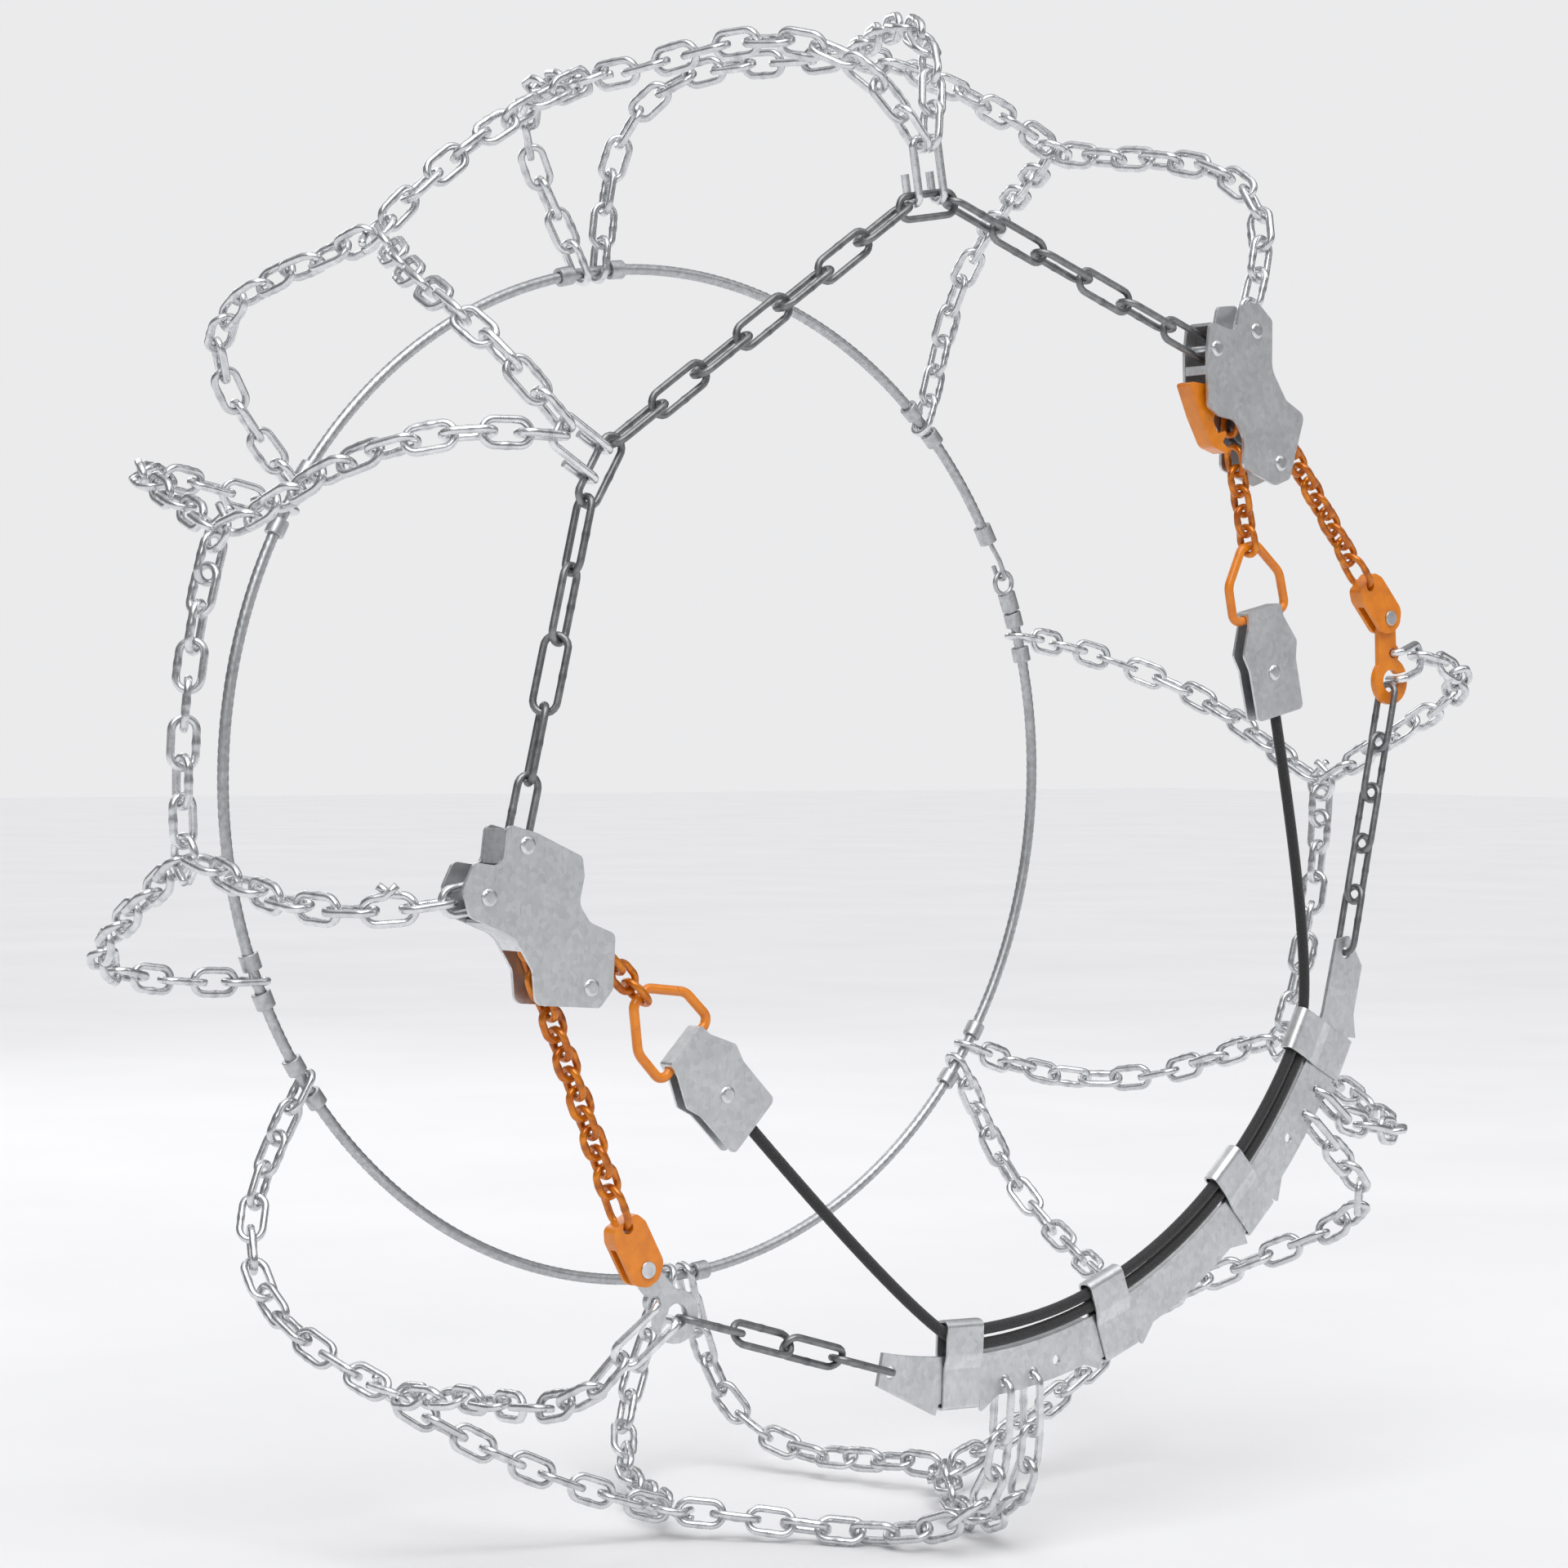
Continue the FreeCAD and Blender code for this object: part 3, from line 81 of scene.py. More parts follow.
def make_camera():
    """Camera fitted to the rim and the tyre in the photograph."""
    place = Vector((-1.1019, -1.3386, 0.02572))
    ahead = Vector((0.62856, 0.77759, -0.01613)).normalized()
    up = Vector((0.00549, 0.01630, 0.99985))
    right = ahead.cross(up).normalized()
    up = right.cross(ahead)
    data = bpy.data.cameras.new("photo_camera")
    data.lens = 89.38
    data.sensor_width = 36.0
    data.clip_start = 0.05
    data.clip_end = 60.0
    camera = bpy.data.objects.new("photo_camera", data)
    camera.matrix_world = Matrix.Translation(place) @ Matrix((right, up, -ahead)).transposed().to_4x4()
    bpy.context.scene.collection.objects.link(camera)
    bpy.context.scene.camera = camera


def area_light(name, place, target, width, height, power):
    data = bpy.data.lights.new(name, "AREA")
    data.shape = "RECTANGLE"
    data.size = width
    data.size_y = height
    data.energy = power
    light = bpy.data.objects.new(name, data)
    light.location = place
    light.rotation_euler = (Vector(target) - Vector(place)).to_track_quat("-Z", "Y").to_euler()
    bpy.context.scene.collection.objects.link(light)


def make_lights():
    area_light("key", (-1.9, -1.7, 1.7), (0, 0, 0), 0.9, 0.9, 9)
    area_light("fill", (1.9, -1.5, 1.6), (0, 0, 0), 0.5, 1.6, 5)
    area_light("back", (0.4, 2.2, 1.1), (0, 0, 0), 1.4, 0.7, 7)
    data = bpy.data.lights.new("daylight", "SUN")
    data.energy = 1.7
    data.angle = math.radians(50.0)
    sun = bpy.data.objects.new("daylight", data)
    sun.rotation_euler = (math.radians(28.0), math.radians(-16.0), 0.0)
    bpy.context.scene.collection.objects.link(sun)


def make_world():
    """A grey gradient is reflected in the metal, and the camera sees an even pale backdrop."""
    world = bpy.data.worlds.new("studio")
    bpy.context.scene.world = world
    world.use_nodes = True
    nodes, links = world.node_tree.nodes, world.node_tree.links
    nodes.clear()
    coords = nodes.new("ShaderNodeTexCoord")
    split = nodes.new("ShaderNodeSeparateXYZ")
    ramp = nodes.new("ShaderNodeValToRGB")
    room = nodes.new("ShaderNodeBackground")
    backdrop = nodes.new("ShaderNodeBackground")
    path = nodes.new("ShaderNodeLightPath")
    choose = nodes.new("ShaderNodeMixShader")
    output = nodes.new("ShaderNodeOutputWorld")
    stops = ((0.0, 0.30), (0.30, 0.16), (0.55, 0.30), (1.0, 0.95))
    while len(ramp.color_ramp.elements) < len(stops):
        ramp.color_ramp.elements.new(0.5)
    for element, (position, grey) in zip(ramp.color_ramp.elements, stops):
        element.position = position
        element.color = (grey, grey, grey * 1.02, 1)
    backdrop.inputs["Color"].default_value = (0.83, 0.83, 0.84, 1)
    links.new(coords.outputs["Generated"], split.inputs[0])
    links.new(split.outputs["Z"], ramp.inputs[0])
    links.new(ramp.outputs["Color"], room.inputs["Color"])
    links.new(path.outputs["Is Camera Ray"], choose.inputs[0])
    links.new(room.outputs[0], choose.inputs[1])
    links.new(backdrop.outputs[0], choose.inputs[2])
    links.new(choose.outputs[0], output.inputs[0])
    bpy.context.scene.view_settings.view_transform = "Standard"


def make_floor():
    half = 14.0
    height = CAD_BOX[0][2] - 0.5 * MM
    corners = [(x * half, y * half, height) for x, y in ((-1, -1), (1, -1), (1, 1), (-1, 1))]
    mesh = bpy.data.meshes.new("floor")
    mesh.from_pydata(corners, [], [(0, 1, 2, 3)])
    floor = bpy.data.objects.new("floor", mesh)
    bpy.context.scene.collection.objects.link(floor)
    mesh.materials.append(floor_material())


# ---------------------------------------------------------------- materials

class Shader:
    """A Principled material with short ways to add the usual nodes."""

    def __init__(self, name):
        self.material = bpy.data.materials.new(name)
        self.material.use_nodes = True
        self.tree = self.material.node_tree
        self.shader = self.tree.nodes["Principled BSDF"]
        self.place = self.add("ShaderNodeTexCoord").outputs["Object"]

    def add(self, kind, **settings):
        node = self.tree.nodes.new(kind)
        for key, value in settings.items():
            setattr(node, key, value)
        return node

    def link(self, source, target):
        self.tree.links.new(source, target)

    def set(self, **values):
        for key, value in values.items():
            self.shader.inputs[key.replace("_", " ")].default_value = value

    def noise(self, scale, detail=4.0, rough=0.55, stretch=None):
        place = self.place
        if stretch:
            mapping = self.add("ShaderNodeMapping")
            mapping.inputs["Scale"].default_value = stretch
            self.link(place, mapping.inputs["Vector"])
            place = mapping.outputs["Vector"]
        node = self.add("ShaderNodeTexNoise")
        node.inputs["Scale"].default_value = scale
        node.inputs["Detail"].default_value = detail
        node.inputs["Roughness"].default_value = rough
        self.link(place, node.inputs["Vector"])
        return node.outputs["Fac"]

    def grains(self, scale):
        node = self.add("ShaderNodeTexVoronoi")
        node.inputs["Scale"].default_value = scale
        self.link(self.place, node.inputs["Vector"])
        split = self.add("ShaderNodeSeparateColor")
        self.link(node.outputs["Color"], split.inputs[0])
        return split.outputs[0]

    def ramp(self, source, stops):
        node = self.add("ShaderNodeValToRGB")
        elements = node.color_ramp.elements
        while len(elements) < len(stops):
            elements.new(0.5)
        for element, (position, colour) in zip(elements, stops):
            element.position = position
            element.color = (*colour, 1.0)
        self.link(source, node.inputs["Fac"])
        return node.outputs["Color"]

    def spread(self, source, low, high):
        node = self.add("ShaderNodeMapRange")
        node.inputs["To Min"].default_value = low
        node.inputs["To Max"].default_value = high
        self.link(source, node.inputs["Value"])
        return node.outputs["Result"]

    def mix(self, factor, first, second, blend="MIX"):
        node = self.add("ShaderNodeMix", data_type="RGBA", blend_type=blend)
        for socket, value in ((node.inputs[0], factor), (node.inputs[6], first), (node.inputs[7], second)):
            if isinstance(value, (tuple, list)):
                socket.default_value = (*value, 1.0)
            elif isinstance(value, (int, float)):
                socket.default_value = value
            else:
                self.link(value, socket)
        return node.outputs[2]

    def bump(self, *layers):
        """Layers are (height, distance in metres, strength)."""
        normal = None
        for height, distance, strength in layers:
            node = self.add("ShaderNodeBump")
            node.inputs["Distance"].default_value = distance
            node.inputs["Strength"].default_value = strength
            self.link(height, node.inputs["Height"])
            if normal:
                self.link(normal, node.inputs["Normal"])
            normal = node.outputs["Normal"]
        self.link(normal, self.shader.inputs["Normal"])

    def colour(self, source):
        self.link(source, self.shader.inputs["Base Color"])

    def roughness(self, source):
        self.link(source, self.shader.inputs["Roughness"])


def floor_material():
    m = Shader("pale_floor")
    m.colour(m.ramp(m.noise(3.0), [(0.3, (0.82, 0.82, 0.83)), (0.7, (0.86, 0.86, 0.87))]))
    m.set(Roughness=0.85)
    return m.material


def link_metal(name, low, high, rough, stain, bumps):
    """Plated chain wire: each link has its own tone, with stains and small dents."""
    m = Shader(name)
    tone = m.add("ShaderNodeAttribute", attribute_name="tone").outputs["Fac"]
    base = m.ramp(m.noise(260.0, 5.0), [(0.32, low), (0.68, high)])
    base = m.mix(m.spread(tone, 0.0, 0.35), base, tuple(0.72 * c for c in low))
    weld = m.add("ShaderNodeAttribute", attribute_name="weld").outputs["Fac"]
    base = m.mix(m.spread(weld, 0.0, 0.55), base, stain)
    m.colour(base)
    m.roughness(m.spread(m.noise(520.0, 3.0), rough[0], rough[1]))
    m.set(Metallic=1.0)
    m.bump((m.noise(900.0, 3.0), 0.05 * MM, bumps), (m.noise(210.0, 2.0), 0.12 * MM, bumps))
    return m.material


def zinc_sheet(name, low, high, rough):
    """Zinc-plated pressed sheet: faint crystal grains, cloudy tone, rolling lines and fine scratches."""
    m = Shader(name)
    grains = m.mix(0.5, m.ramp(m.grains(420.0), [(0.0, low), (1.0, high)]),
                   m.ramp(m.noise(70.0, 6.0), [(0.3, low), (0.7, high)]))
    scratches = m.ramp(m.noise(1.0, 6.0, 0.7, stretch=(2400.0, 60.0, 160.0)),
                       [(0.58, (0, 0, 0)), (0.68, (1, 1, 1))])
    scratches = m.mix(1.0, scratches, (0.5, 0.5, 0.5), "MULTIPLY")
    m.colour(m.mix(scratches, grains, tuple(0.62 * c for c in low)))
    m.roughness(m.spread(m.noise(160.0, 5.0), rough[0], rough[1]))
    m.set(Metallic=1.0)
    m.bump((m.noise(1.0, 4.0, stretch=(90.0, 90.0, 1500.0)), 0.03 * MM, 0.5),
           (m.noise(420.0, 3.0), 0.06 * MM, 0.5))
    return m.material


def orange_paint(name, deep, bright):
    """Baked enamel with orange-peel and small chips that show the darker primer."""
    m = Shader(name)
    paint = m.ramp(m.noise(120.0, 5.0), [(0.25, deep), (0.75, bright)])
    chips = m.ramp(m.noise(300.0, 6.0, 0.7), [(0.66, (0, 0, 0)), (0.69, (0.8, 0.8, 0.8))])
    m.colour(m.mix(chips, paint, tuple(0.45 * c for c in deep)))
    m.roughness(m.spread(m.noise(300.0, 4.0), 0.26, 0.42))
    m.set(Coat_Weight=0.35, Coat_Roughness=0.12, Specular_IOR_Level=0.5)
    m.bump((m.noise(650.0, 2.0), 0.06 * MM, 0.5))
    return m.material


def orange_links(name, deep, bright):
    """Orange lacquer over steel wire, glossy all over: each link has its own tone, and it is darker by the
    weld.
    """
    m = Shader(name)
    tone = m.add("ShaderNodeAttribute", attribute_name="tone").outputs["Fac"]
    weld = m.add("ShaderNodeAttribute", attribute_name="weld").outputs["Fac"]
    base = m.ramp(m.noise(240.0, 5.0), [(0.30, deep), (0.66, bright)])
    base = m.mix(m.spread(tone, 0.0, 0.30), base, deep)
    m.colour(m.mix(m.spread(weld, 0.0, 0.5), base, tuple(0.5 * c for c in deep)))
    m.roughness(m.spread(m.noise(420.0, 3.0), 0.20, 0.38))
    m.set(Metallic=0.45, Coat_Weight=0.3, Coat_Roughness=0.15)
    m.bump((m.noise(620.0, 3.0), 0.06 * MM, 0.5))
    return m.material


def cord_material():
    """Black braided sheath with a soft sheen and a few paler threads."""
    m = Shader("black_braid")
    m.colour(m.ramp(m.noise(1600.0, 3.0), [(0.35, (0.006, 0.006, 0.007)), (0.75, (0.030, 0.030, 0.032))]))
    m.roughness(m.spread(m.noise(900.0), 0.62, 0.82))
    m.set(Sheen_Weight=0.25, Sheen_Roughness=0.5)
    m.bump((m.noise(2600.0, 2.0), 0.08 * MM, 0.7))
    return m.material


def turned_steel(name, low, high, rough):
    m = Shader(name)
    m.colour(m.ramp(m.noise(340.0, 5.0), [(0.3, low), (0.7, high)]))
    m.roughness(m.spread(m.noise(240.0, 4.0), rough[0], rough[1]))
    m.set(Metallic=1.0)
    m.bump((m.noise(1100.0, 3.0), 0.04 * MM, 0.5))
    return m.material


def make_materials():
    return {
        "tread_chain": link_metal("bright_zinc_links", (0.66, 0.67, 0.69), (0.86, 0.87, 0.88), (0.20, 0.36),
                                  (0.42, 0.43, 0.46), 0.5),
        "side_chain": link_metal("grey_links", (0.20, 0.205, 0.21), (0.36, 0.365, 0.37), (0.36, 0.52),
                                 (0.12, 0.12, 0.13), 0.6),
        "zinc_wire": link_metal("bright_zinc_wire", (0.66, 0.67, 0.69), (0.86, 0.87, 0.88), (0.20, 0.36),
                                (0.42, 0.43, 0.46), 0.5),
        "orange_paint": orange_paint("orange_enamel", (0.62, 0.155, 0.002), (0.86, 0.27, 0.006)),
        "orange_links": orange_links("orange_links", (0.42, 0.085, 0.002), (0.80, 0.26, 0.006)),
        "rivet_steel": turned_steel("rivet_steel", (0.58, 0.59, 0.60), (0.80, 0.81, 0.82), (0.24, 0.38)),
        "zinc_sheet": zinc_sheet("zinc_sheet", (0.58, 0.59, 0.60), (0.78, 0.79, 0.80), (0.36, 0.50)),
        "wheel_steel": turned_steel("wheel_steel", (0.30, 0.31, 0.32), (0.48, 0.49, 0.50), (0.34, 0.48)),
        "spring_steel": turned_steel("spring_steel", (0.22, 0.22, 0.23), (0.38, 0.38, 0.39), (0.30, 0.40)),
        "elastic_cord": cord_material(),
        "hoop_steel": turned_steel("galvanised_rope", (0.42, 0.43, 0.44), (0.62, 0.63, 0.64), (0.34, 0.50)),
    }


# ---------------------------------------------------------------- mesh helpers

def new_piece(name, vertices, faces, material, body):
    mesh = bpy.data.meshes.new(name)
    mesh.from_pydata([tuple(v) for v in vertices], [], faces)
    mesh.polygons.foreach_set("use_smooth", [True] * len(mesh.polygons))
    mesh.materials.append(material)
    mesh.update()
    piece = bpy.data.objects.new(name, mesh)
    bpy.context.scene.collection.objects.link(piece)
    if body:
        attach(piece, body)
    return piece


def ring_faces(rows, columns, closed, start=0):
    """Quads of a tube. Rows run along it, and an open tube gets a cap at each end."""
    faces = []
    for k in range(rows if closed else rows - 1):
        a, b = start + k * columns, start + (k + 1) % rows * columns
        for j in range(columns):
            i = (j + 1) % columns
            faces.append((a + j, a + i, b + i, b + j))
    if not closed:
        faces.append(tuple(start + j for j in range(columns))[::-1])
        faces.append(tuple(start + (rows - 1) * columns + j for j in range(columns)))
    return faces


def tube_vertices(path, radius, columns, closed, up=None, profile=None):
    """Vertices of a tube. radius is one number or one for each point; profile(k, angle) scales it."""
    path = np.asarray(path, float)
    count = len(path)
    if closed:
        tangent = np.roll(path, -1, 0) - np.roll(path, 1, 0)
    else:
        tangent = np.gradient(path, axis=0)
    tangent /= np.linalg.norm(tangent, axis=1)[:, None]
    side = np.cross(tangent[0], up if up is not None else (0.0, 1.0, 0.0))
    side /= np.linalg.norm(side)
    angles = np.linspace(0, 2 * math.pi, columns, endpoint=False)
    radius = np.broadcast_to(radius, (count,))
    result = []
    for k in range(count):
        if up is not None:
            side = np.cross(tangent[k], up)
        else:
            side = side - tangent[k] * side.dot(tangent[k])
        side = side / np.linalg.norm(side)
        other = np.cross(tangent[k], side)
        scale = profile(k, angles) if profile else np.ones(columns)
        offsets = np.cos(angles)[:, None] * side + np.sin(angles)[:, None] * other
        result.append(path[k] + offsets * (radius[k] * scale)[:, None])
    return np.concatenate(result)


def islands(node):
    """Vertex positions of each separate solid of a CAD node, joined to the nearest micrometre."""
    mesh = NODES[node].data
    places = np.zeros(len(mesh.vertices) * 3)
    mesh.vertices.foreach_get("co", places)
    places = places.reshape(-1, 3)
    spots, index = np.unique(np.round(places * 1e6).astype(np.int64), axis=0, return_inverse=True)
    index = index.reshape(-1)
    edges = np.zeros(len(mesh.edges) * 2, np.int64)
    mesh.edges.foreach_get("vertices", edges)
    edges = index[edges.reshape(-1, 2)]
    label = np.arange(len(spots))
    while True:
        lowest = np.minimum(label[edges[:, 0]], label[edges[:, 1]])
        fresh = label.copy()
        np.minimum.at(fresh, edges[:, 0], lowest)
        np.minimum.at(fresh, edges[:, 1], lowest)
        fresh = fresh[fresh]
        if (fresh == label).all():
            break
        label = fresh
    return [spots[label == one] / 1e6 for one in np.unique(label)]


def own_axes(points):
    """Centre, axes as rows from the longest to the shortest, and size along each, of one solid."""
    middle = points.mean(0)
    values, vectors = np.linalg.eigh(np.cov((points - middle).T))
    axes = vectors.T[::-1].copy()
    if np.linalg.det(axes) < 0:
        axes[2] *= -1
    local = (points - middle) @ axes.T
    centre = middle + ((local.max(0) + local.min(0)) / 2) @ axes
    return centre, axes, local.max(0) - local.min(0)


# ---------------------------------------------------------------- links

LINK_ROWS = 44
LINK_COLUMNS = 12

# The weld at the middle of a leg: its bead and the groove beside it, as shares of the wire.
BEAD_HEIGHT, BEAD_REACH = 0.10, 0.45
GROOVE_DEPTH, GROOVE_PLACE, GROOVE_REACH = 0.05, 0.85, 0.25


def stadium(reach, bend, rows):
    """Closed path of a link in its own plane, evenly spaced, starting at the middle of a leg."""
    straight = reach - bend
    total = 4 * straight + 2 * math.pi * bend
    path = []
    for k in range(rows):
        s = total * k / rows
        if s < straight:
            path.append((s, -bend, 0.0))
        elif s < straight + math.pi * bend:
            turn = (s - straight) / bend - math.pi / 2
            path.append((straight + bend * math.cos(turn), bend * math.sin(turn), 0.0))
        elif s < 3 * straight + math.pi * bend:
            path.append((2 * straight + math.pi * bend - s, bend, 0.0))
        elif s < 3 * straight + 2 * math.pi * bend:
            turn = (s - 3 * straight - math.pi * bend) / bend + math.pi / 2
            path.append((-straight + bend * math.cos(turn), bend * math.sin(turn), 0.0))
        else:
            path.append((s - total, -bend, 0.0))
    return np.array(path), total


def squared(amount):
    """Profile of wire that was drawn slightly square."""
    def scale(row, angles):
        power = 2.0 + amount
        reach = (np.abs(np.cos(angles)) ** power + np.abs(np.sin(angles)) ** power) ** (-1 / power)
        return reach / reach.max() * (1 + 0.035 * amount)
    return scale


def link_pattern(size, square):
    """Vertices of one link about its own centre, and how much of the weld bead is at each."""
    length, width, wire = size
    path, total = stadium((length - wire) / 2, (width - wire) / 2, LINK_ROWS)
    along = np.minimum(np.arange(LINK_ROWS), LINK_ROWS - np.arange(LINK_ROWS)) * total / LINK_ROWS
    bead = np.exp(-(along / (BEAD_REACH * wire)) ** 2)
    groove = np.exp(-((along - GROOVE_PLACE * wire) / (GROOVE_REACH * wire)) ** 2)
    radius = wire / 2 * (1 + BEAD_HEIGHT * bead - GROOVE_DEPTH * groove)
    vertices = tube_vertices(path, radius, LINK_COLUMNS, True, up=np.array((0.0, 0.0, 1.0)),
                             profile=squared(square))
    return vertices, np.repeat(bead, LINK_COLUMNS)


# Where the wire of a crossed link passes over itself, and its end past the leg, in wire thicknesses.
# The lift fades out over the first and last rows of the oval.
CROSSED_LIFT, CROSSED_FADE_ROWS = 0.55, 6.0
CROSSED_TAIL = ((0.35, 0.12, CROSSED_LIFT), (-0.35, 0.62, CROSSED_LIFT), (-1.10, 1.30, CROSSED_LIFT))


def crossed_pattern(size):
    """Vertices of a connecting link whose wire ends cross beside one leg."""
    length, width, wire = size
    reach, bend = (length - wire) / 2, (width - wire) / 2
    tail = np.array(CROSSED_TAIL) * wire
    tail[:, 1] = -bend - tail[:, 1]
    oval = stadium(reach, bend, LINK_ROWS)[0][len(tail):-len(tail)]
    fade = np.clip(1.0 - np.arange(len(oval)) / CROSSED_FADE_ROWS, 0.0, 1.0)
    oval[:, 2] = CROSSED_LIFT * wire * (fade - fade[::-1])
    path = np.concatenate((tail[::-1], oval, tail * (-1, 1, -1)))
    vertices = tube_vertices(path, wire / 2, LINK_COLUMNS, False, up=np.array((0.0, 0.0, 1.0)))
    return vertices, np.zeros(len(vertices))


# Strand with a crossed connecting link: the place of that link, counted from the node beside it.
CROSSED_LINK = {"outer_strand_left_ratchet": (2, "ratchet_front_plate_left")}


def chain_piece(node, name, material, square, seed):
    """Smooth welded links in the places of a CAD node's links."""
    chance = random.Random(seed)
    vertices, faces, tones, welds, patterns = [], [], [], [], {}
    found = [own_axes(points) for points in islands(node)]
    place, beside = CROSSED_LINK.get(node, (None, node))
    origin = np.array(sum(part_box(beside), Vector()) / 2)
    found.sort(key=lambda one: np.linalg.norm(one[0] - origin))
    for number, (centre, axes, size) in enumerate(found):
        # Links of one size, to a tenth of a millimetre, share their pattern.
        key = "crossed" if number == place else tuple(np.round(size * 1e4))
        if key not in patterns:
            patterns[key] = crossed_pattern(size) if key == "crossed" else link_pattern(size, square)
        pattern, bead = patterns[key]
        flip = np.array((chance.choice((-1, 1)), chance.choice((-1, 1)), 1.0))
        flip[2] = flip[0] * flip[1]
        vertices.append(centre + (pattern * flip) @ axes)
        faces += ring_faces(LINK_ROWS, LINK_COLUMNS, key != "crossed", number * LINK_ROWS * LINK_COLUMNS)
        tones += [chance.random()] * len(pattern)
        welds.append(bead)
    piece = new_piece(name, np.concatenate(vertices), faces, material, BODY_OF[node])
    piece.data.attributes.new("tone", "FLOAT", "POINT").data.foreach_set("value", tones)
    piece.data.attributes.new("weld", "FLOAT", "POINT").data.foreach_set("value", np.concatenate(welds))
    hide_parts(node)
    return piece


# How square the wire of each chain is: 0 is round.
WIRE_SQUARE = {"outer_strand": 0.9, "inner_strand": 0.9, "centre_strand": 0.9, "side_chain": 0.2,
               "tension_chain": 0.1, "free_chain": 0.1}


def make_chains(materials):
    slots = {entry["node"]: entry["material_slot"] for entry in frame["record"]["subparts"]}
    for seed, node in enumerate(sorted(NODES)):
        kind = next((kind for kind in WIRE_SQUARE if node.startswith(kind)), None)
        if kind:
            look = "orange_links" if slots[node] == "orange_paint" else slots[node]
            piece = chain_piece(node, node + "_links", materials[look], WIRE_SQUARE[kind], seed)


# ---------------------------------------------------------------- connecting rings

RING_SWEEP = math.radians(168.0)   # from the far side of a ring to where its ends cross
RING_TAIL = 0.14                   # share of each half of the wire that leaves the circle
RING_SPREAD = (0.62, 0.42)         # how far the ends stand out and apart, in ring radii
RING_LIFT = 0.56                   # how far the ends part across the wire, in wire thicknesses
RING_RISE = 1.2                    # how early that lift is reached: above 1 is before the end
RING_SHRINK = 0.10                 # how far the ends draw in to the centre, in ring radii
RING_WIRE = 0.98                   # wire of the drawn ring, as a share of the CAD ring's


def make_joint_rings(materials):
    """Rings closed by crossing their ends, which point away from the strands."""
    found = [own_axes(points) for points in islands("joint_rings")]
    wire = min(size[2] for centre, axes, size in found)
    radius = (max(size[0] for centre, axes, size in found) - wire) / 2
    vertices, faces = [], []
    rows, columns = 56, 12
    for number, (centre, axes, size) in enumerate(found):
        others = [other[0] for other in found if other[0] is not centre]
        nearest = min(others, key=lambda other: np.linalg.norm(other - centre))
        normal = axes[2]
        away = centre - nearest
        away = away - normal * away.dot(normal)
        away /= np.linalg.norm(away)
        aside = np.cross(normal, away)
        path = []
        for k in range(rows):
            # part runs from -1 at one end of the wire to 1 at the other; tail is above 0 near the ends.
            part = 2.0 * k / (rows - 1) - 1.0
            tail = max(0.0, abs(part) - 1.0 + RING_TAIL) / RING_TAIL
            turn = math.pi + part * RING_SWEEP
            shrink = 1.0 - RING_SHRINK * tail
            outward = math.cos(turn) * shrink + RING_SPREAD[0] * tail
            sideways = math.sin(turn) * shrink + math.copysign(RING_SPREAD[1], part) * tail
            lift = RING_LIFT * wire * part * min(1.0, abs(part) ** 3 * RING_RISE)
            path.append(centre + (away * outward + aside * sideways) * radius + normal * lift)
        vertices.append(tube_vertices(path, wire / 2 * RING_WIRE, columns, False))
        faces += ring_faces(rows, columns, False, number * rows * columns)
    piece = new_piece("crossed_rings", np.concatenate(vertices), faces, materials["zinc_wire"],
                      BODY_OF["joint_rings"])
    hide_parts("joint_rings")


# ---------------------------------------------------------------- cords and cable

CORD_DIAMETER = 5 * MM
CORD_Y = -0.1210
CORD_BRAID = {"carriers": 12, "pitch": 11 * MM, "height": 0.07}

# Corners of each cord's route in X and Z, from its bracket to its last clip on the arc plate.
CORD_ROUTES = {
    "left": ((-0.1450, -0.1262), (-0.0348, -0.2349), (0.0025, -0.2361), (0.0496, -0.2278), (0.0939, -0.2099),
             (0.1335, -0.1832), (0.1667, -0.1488), (0.1842, -0.1204)),
    "right": ((0.1615, 0.0439), (0.1931, -0.0899), (0.1713, -0.1327), (0.1414, -0.1684), (0.1047, -0.1971),
              (0.0628, -0.2175), (0.0176, -0.2288), (-0.0142, -0.2297)),
}


def nurbs_points(route, resolution=24):
    """Points along the smooth NURBS line through a route's control points."""
    curve = bpy.data.curves.new("route", "CURVE")
    curve.dimensions = "3D"
    spline = curve.splines.new("NURBS")
    spline.points.add(len(route) - 1)
    for point, place in zip(spline.points, route):
        point.co = (*place, 1.0)
    spline.order_u = 3
    spline.use_endpoint_u = True
    spline.resolution_u = resolution
    holder = bpy.data.objects.new("route", curve)
    bpy.context.scene.collection.objects.link(holder)
    bpy.context.view_layer.update()
    line = bpy.data.meshes.new_from_object(holder)
    points = np.array([v.co for v in line.vertices])
    bpy.data.objects.remove(holder)
    bpy.data.curves.remove(curve)
    bpy.data.meshes.remove(line)
    return points


def evenly(points, spacing):
    """The line through the points, read at an even spacing."""
    steps = np.linalg.norm(np.diff(points, axis=0), axis=1)
    at = np.concatenate(([0.0], np.cumsum(steps)))
    wanted = np.linspace(0.0, at[-1], max(2, round(at[-1] / spacing)))
    return np.stack([np.interp(wanted, at, points[:, k]) for k in range(3)], 1)


def braid(spacing, carriers, pitch, height):
    """Profile of a braided sheath: two sets of threads that wind opposite ways."""
    def scale(row, angles):
        wind = 2 * math.pi * row * spacing / pitch
        one = np.cos(carriers / 2 * (angles + wind))
        two = np.cos(carriers / 2 * (angles - wind))
        return 1.0 - height + height * np.maximum(one, two)
    return scale


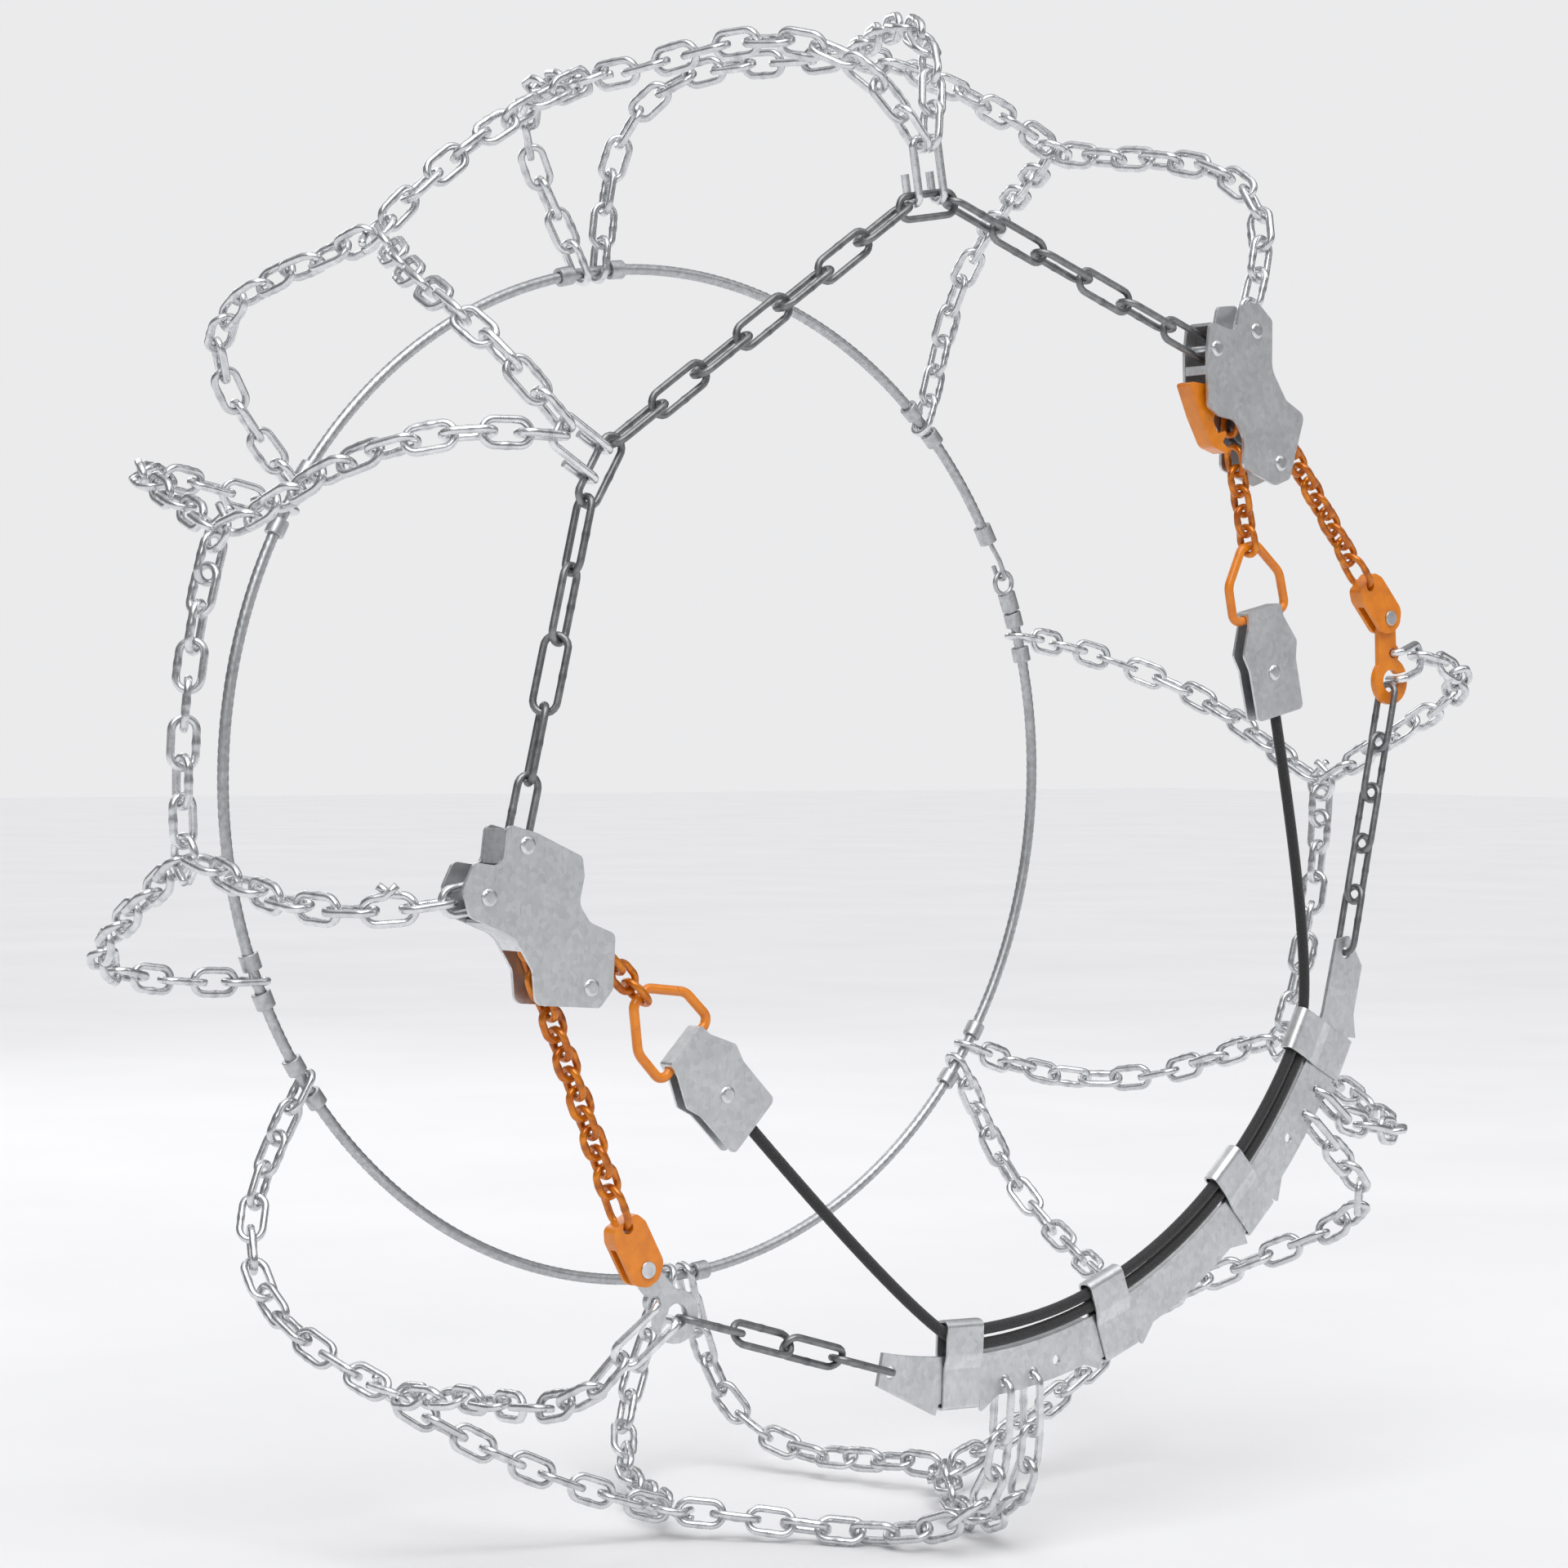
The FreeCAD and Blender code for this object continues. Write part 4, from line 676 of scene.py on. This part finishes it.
def make_cords(materials):
    spacing, columns = 0.5 * MM, 24
    for side in SIDES:
        route = [(x, CORD_Y, z) for x, z in CORD_ROUTES[side]]
        path = evenly(nurbs_points(route), spacing)
        vertices = tube_vertices(path, CORD_DIAMETER / 2, columns, False, up=np.array((0.0, 1.0, 0.0)),
                                 profile=braid(spacing, **CORD_BRAID))
        cord = new_piece(f"elastic_cord_{side}", vertices, ring_faces(len(path), columns, False),
                         materials["elastic_cord"], None)
        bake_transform(cord)
        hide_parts(f"pull_cord_{side}")


# Degrees between which the coupling closes the hoop, and the hoop's six-strand wire rope.
HOOP_GAP = (22.0, 30.0)
ROPE_STRANDS = 6
ROPE_LAY = 24 * MM                      # length in which a strand goes once round the rope
ROPE_CORE, ROPE_STRAND = 0.82, 0.18     # shares of the radius: up to the grooves, and above them


def make_hoop(materials):
    """Inner hoop as a wire rope of twisted strands."""
    low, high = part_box("inner_hoop")
    wire = high.y - low.y
    radius = (high.z - low.z) / 2 - wire / 2
    plane = (high.y + low.y) / 2
    first, span = math.radians(HOOP_GAP[1]), math.radians(360.0 - HOOP_GAP[1] + HOOP_GAP[0])
    spacing, columns = 1.0 * MM, 18
    rows = round(radius * span / spacing)
    path = []
    for k in range(rows + 1):
        turn = first + span * k / rows
        path.append((radius * math.cos(turn), plane, radius * math.sin(turn)))

    def strands(row, angles):
        wind = 2 * math.pi * row * spacing / ROPE_LAY
        return ROPE_CORE + ROPE_STRAND * np.abs(np.cos(ROPE_STRANDS / 2 * (angles + wind)))

    vertices = tube_vertices(path, wire / 2, columns, False, up=np.array((0.0, 1.0, 0.0)), profile=strands)
    piece = new_piece("hoop_rope", vertices, ring_faces(len(path), columns, False), materials["hoop_steel"],
                      BODY_OF["inner_hoop"])
    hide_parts("inner_hoop")


# ---------------------------------------------------------------- CAD nodes that stay

# Width in millimetres of the rounding of each kind of part's edges.
EDGE_BREAK = {"ratchet_front_plate": 0.45, "ratchet_back_plate": 0.45, "arc_plate": 0.35, "arc_clips": 0.25,
              "pull_bracket": 0.5, "chain_clip": 0.5, "corner_hook": 0.5, "release_lever": 0.9,
              "ratchet_pins": 0.3, "bracket_rivet": 0.3, "clip_pins": 0.3, "chain_wheel": 0.2,
              "hoop_sleeves": 0.4, "hoop_coupling": 0.3}


def dress_nodes(materials):
    """Materials of the CAD nodes that show, with their sharp edges broken."""
    for entry in frame["record"]["subparts"]:
        node = NODES[entry["node"]]
        node.data.materials.clear()
        node.data.materials.append(materials[entry["material_slot"]])
        node.data.polygons.foreach_set("use_smooth", [True] * len(node.data.polygons))
        radius = next((r for start, r in EDGE_BREAK.items() if entry["node"].startswith(start)), None)
        if radius:
            weld = node.modifiers.new("weld", "WELD")
            weld.merge_threshold = 0.002 * MM
            flats = node.modifiers.new("whole_flats", "DECIMATE")
            flats.decimate_type = "DISSOLVE"
            flats.angle_limit = math.radians(1.0)
            bevel = node.modifiers.new("edge_break", "BEVEL")
            bevel.width = radius * MM
            bevel.segments = 2
            bevel.limit_method = "ANGLE"
            bevel.angle_limit = math.radians(35.0)
            bevel.miter_outer = "MITER_ARC"
            bevel.loop_slide = False
            normals = node.modifiers.new("even_normals", "WEIGHTED_NORMAL")
            normals.keep_sharp = False


# ---------------------------------------------------------------- run

make_camera()
make_lights()
make_world()
make_floor()
MATERIALS = make_materials()
make_cords(MATERIALS)
make_chains(MATERIALS)
make_joint_rings(MATERIALS)
make_hoop(MATERIALS)
dress_nodes(MATERIALS)
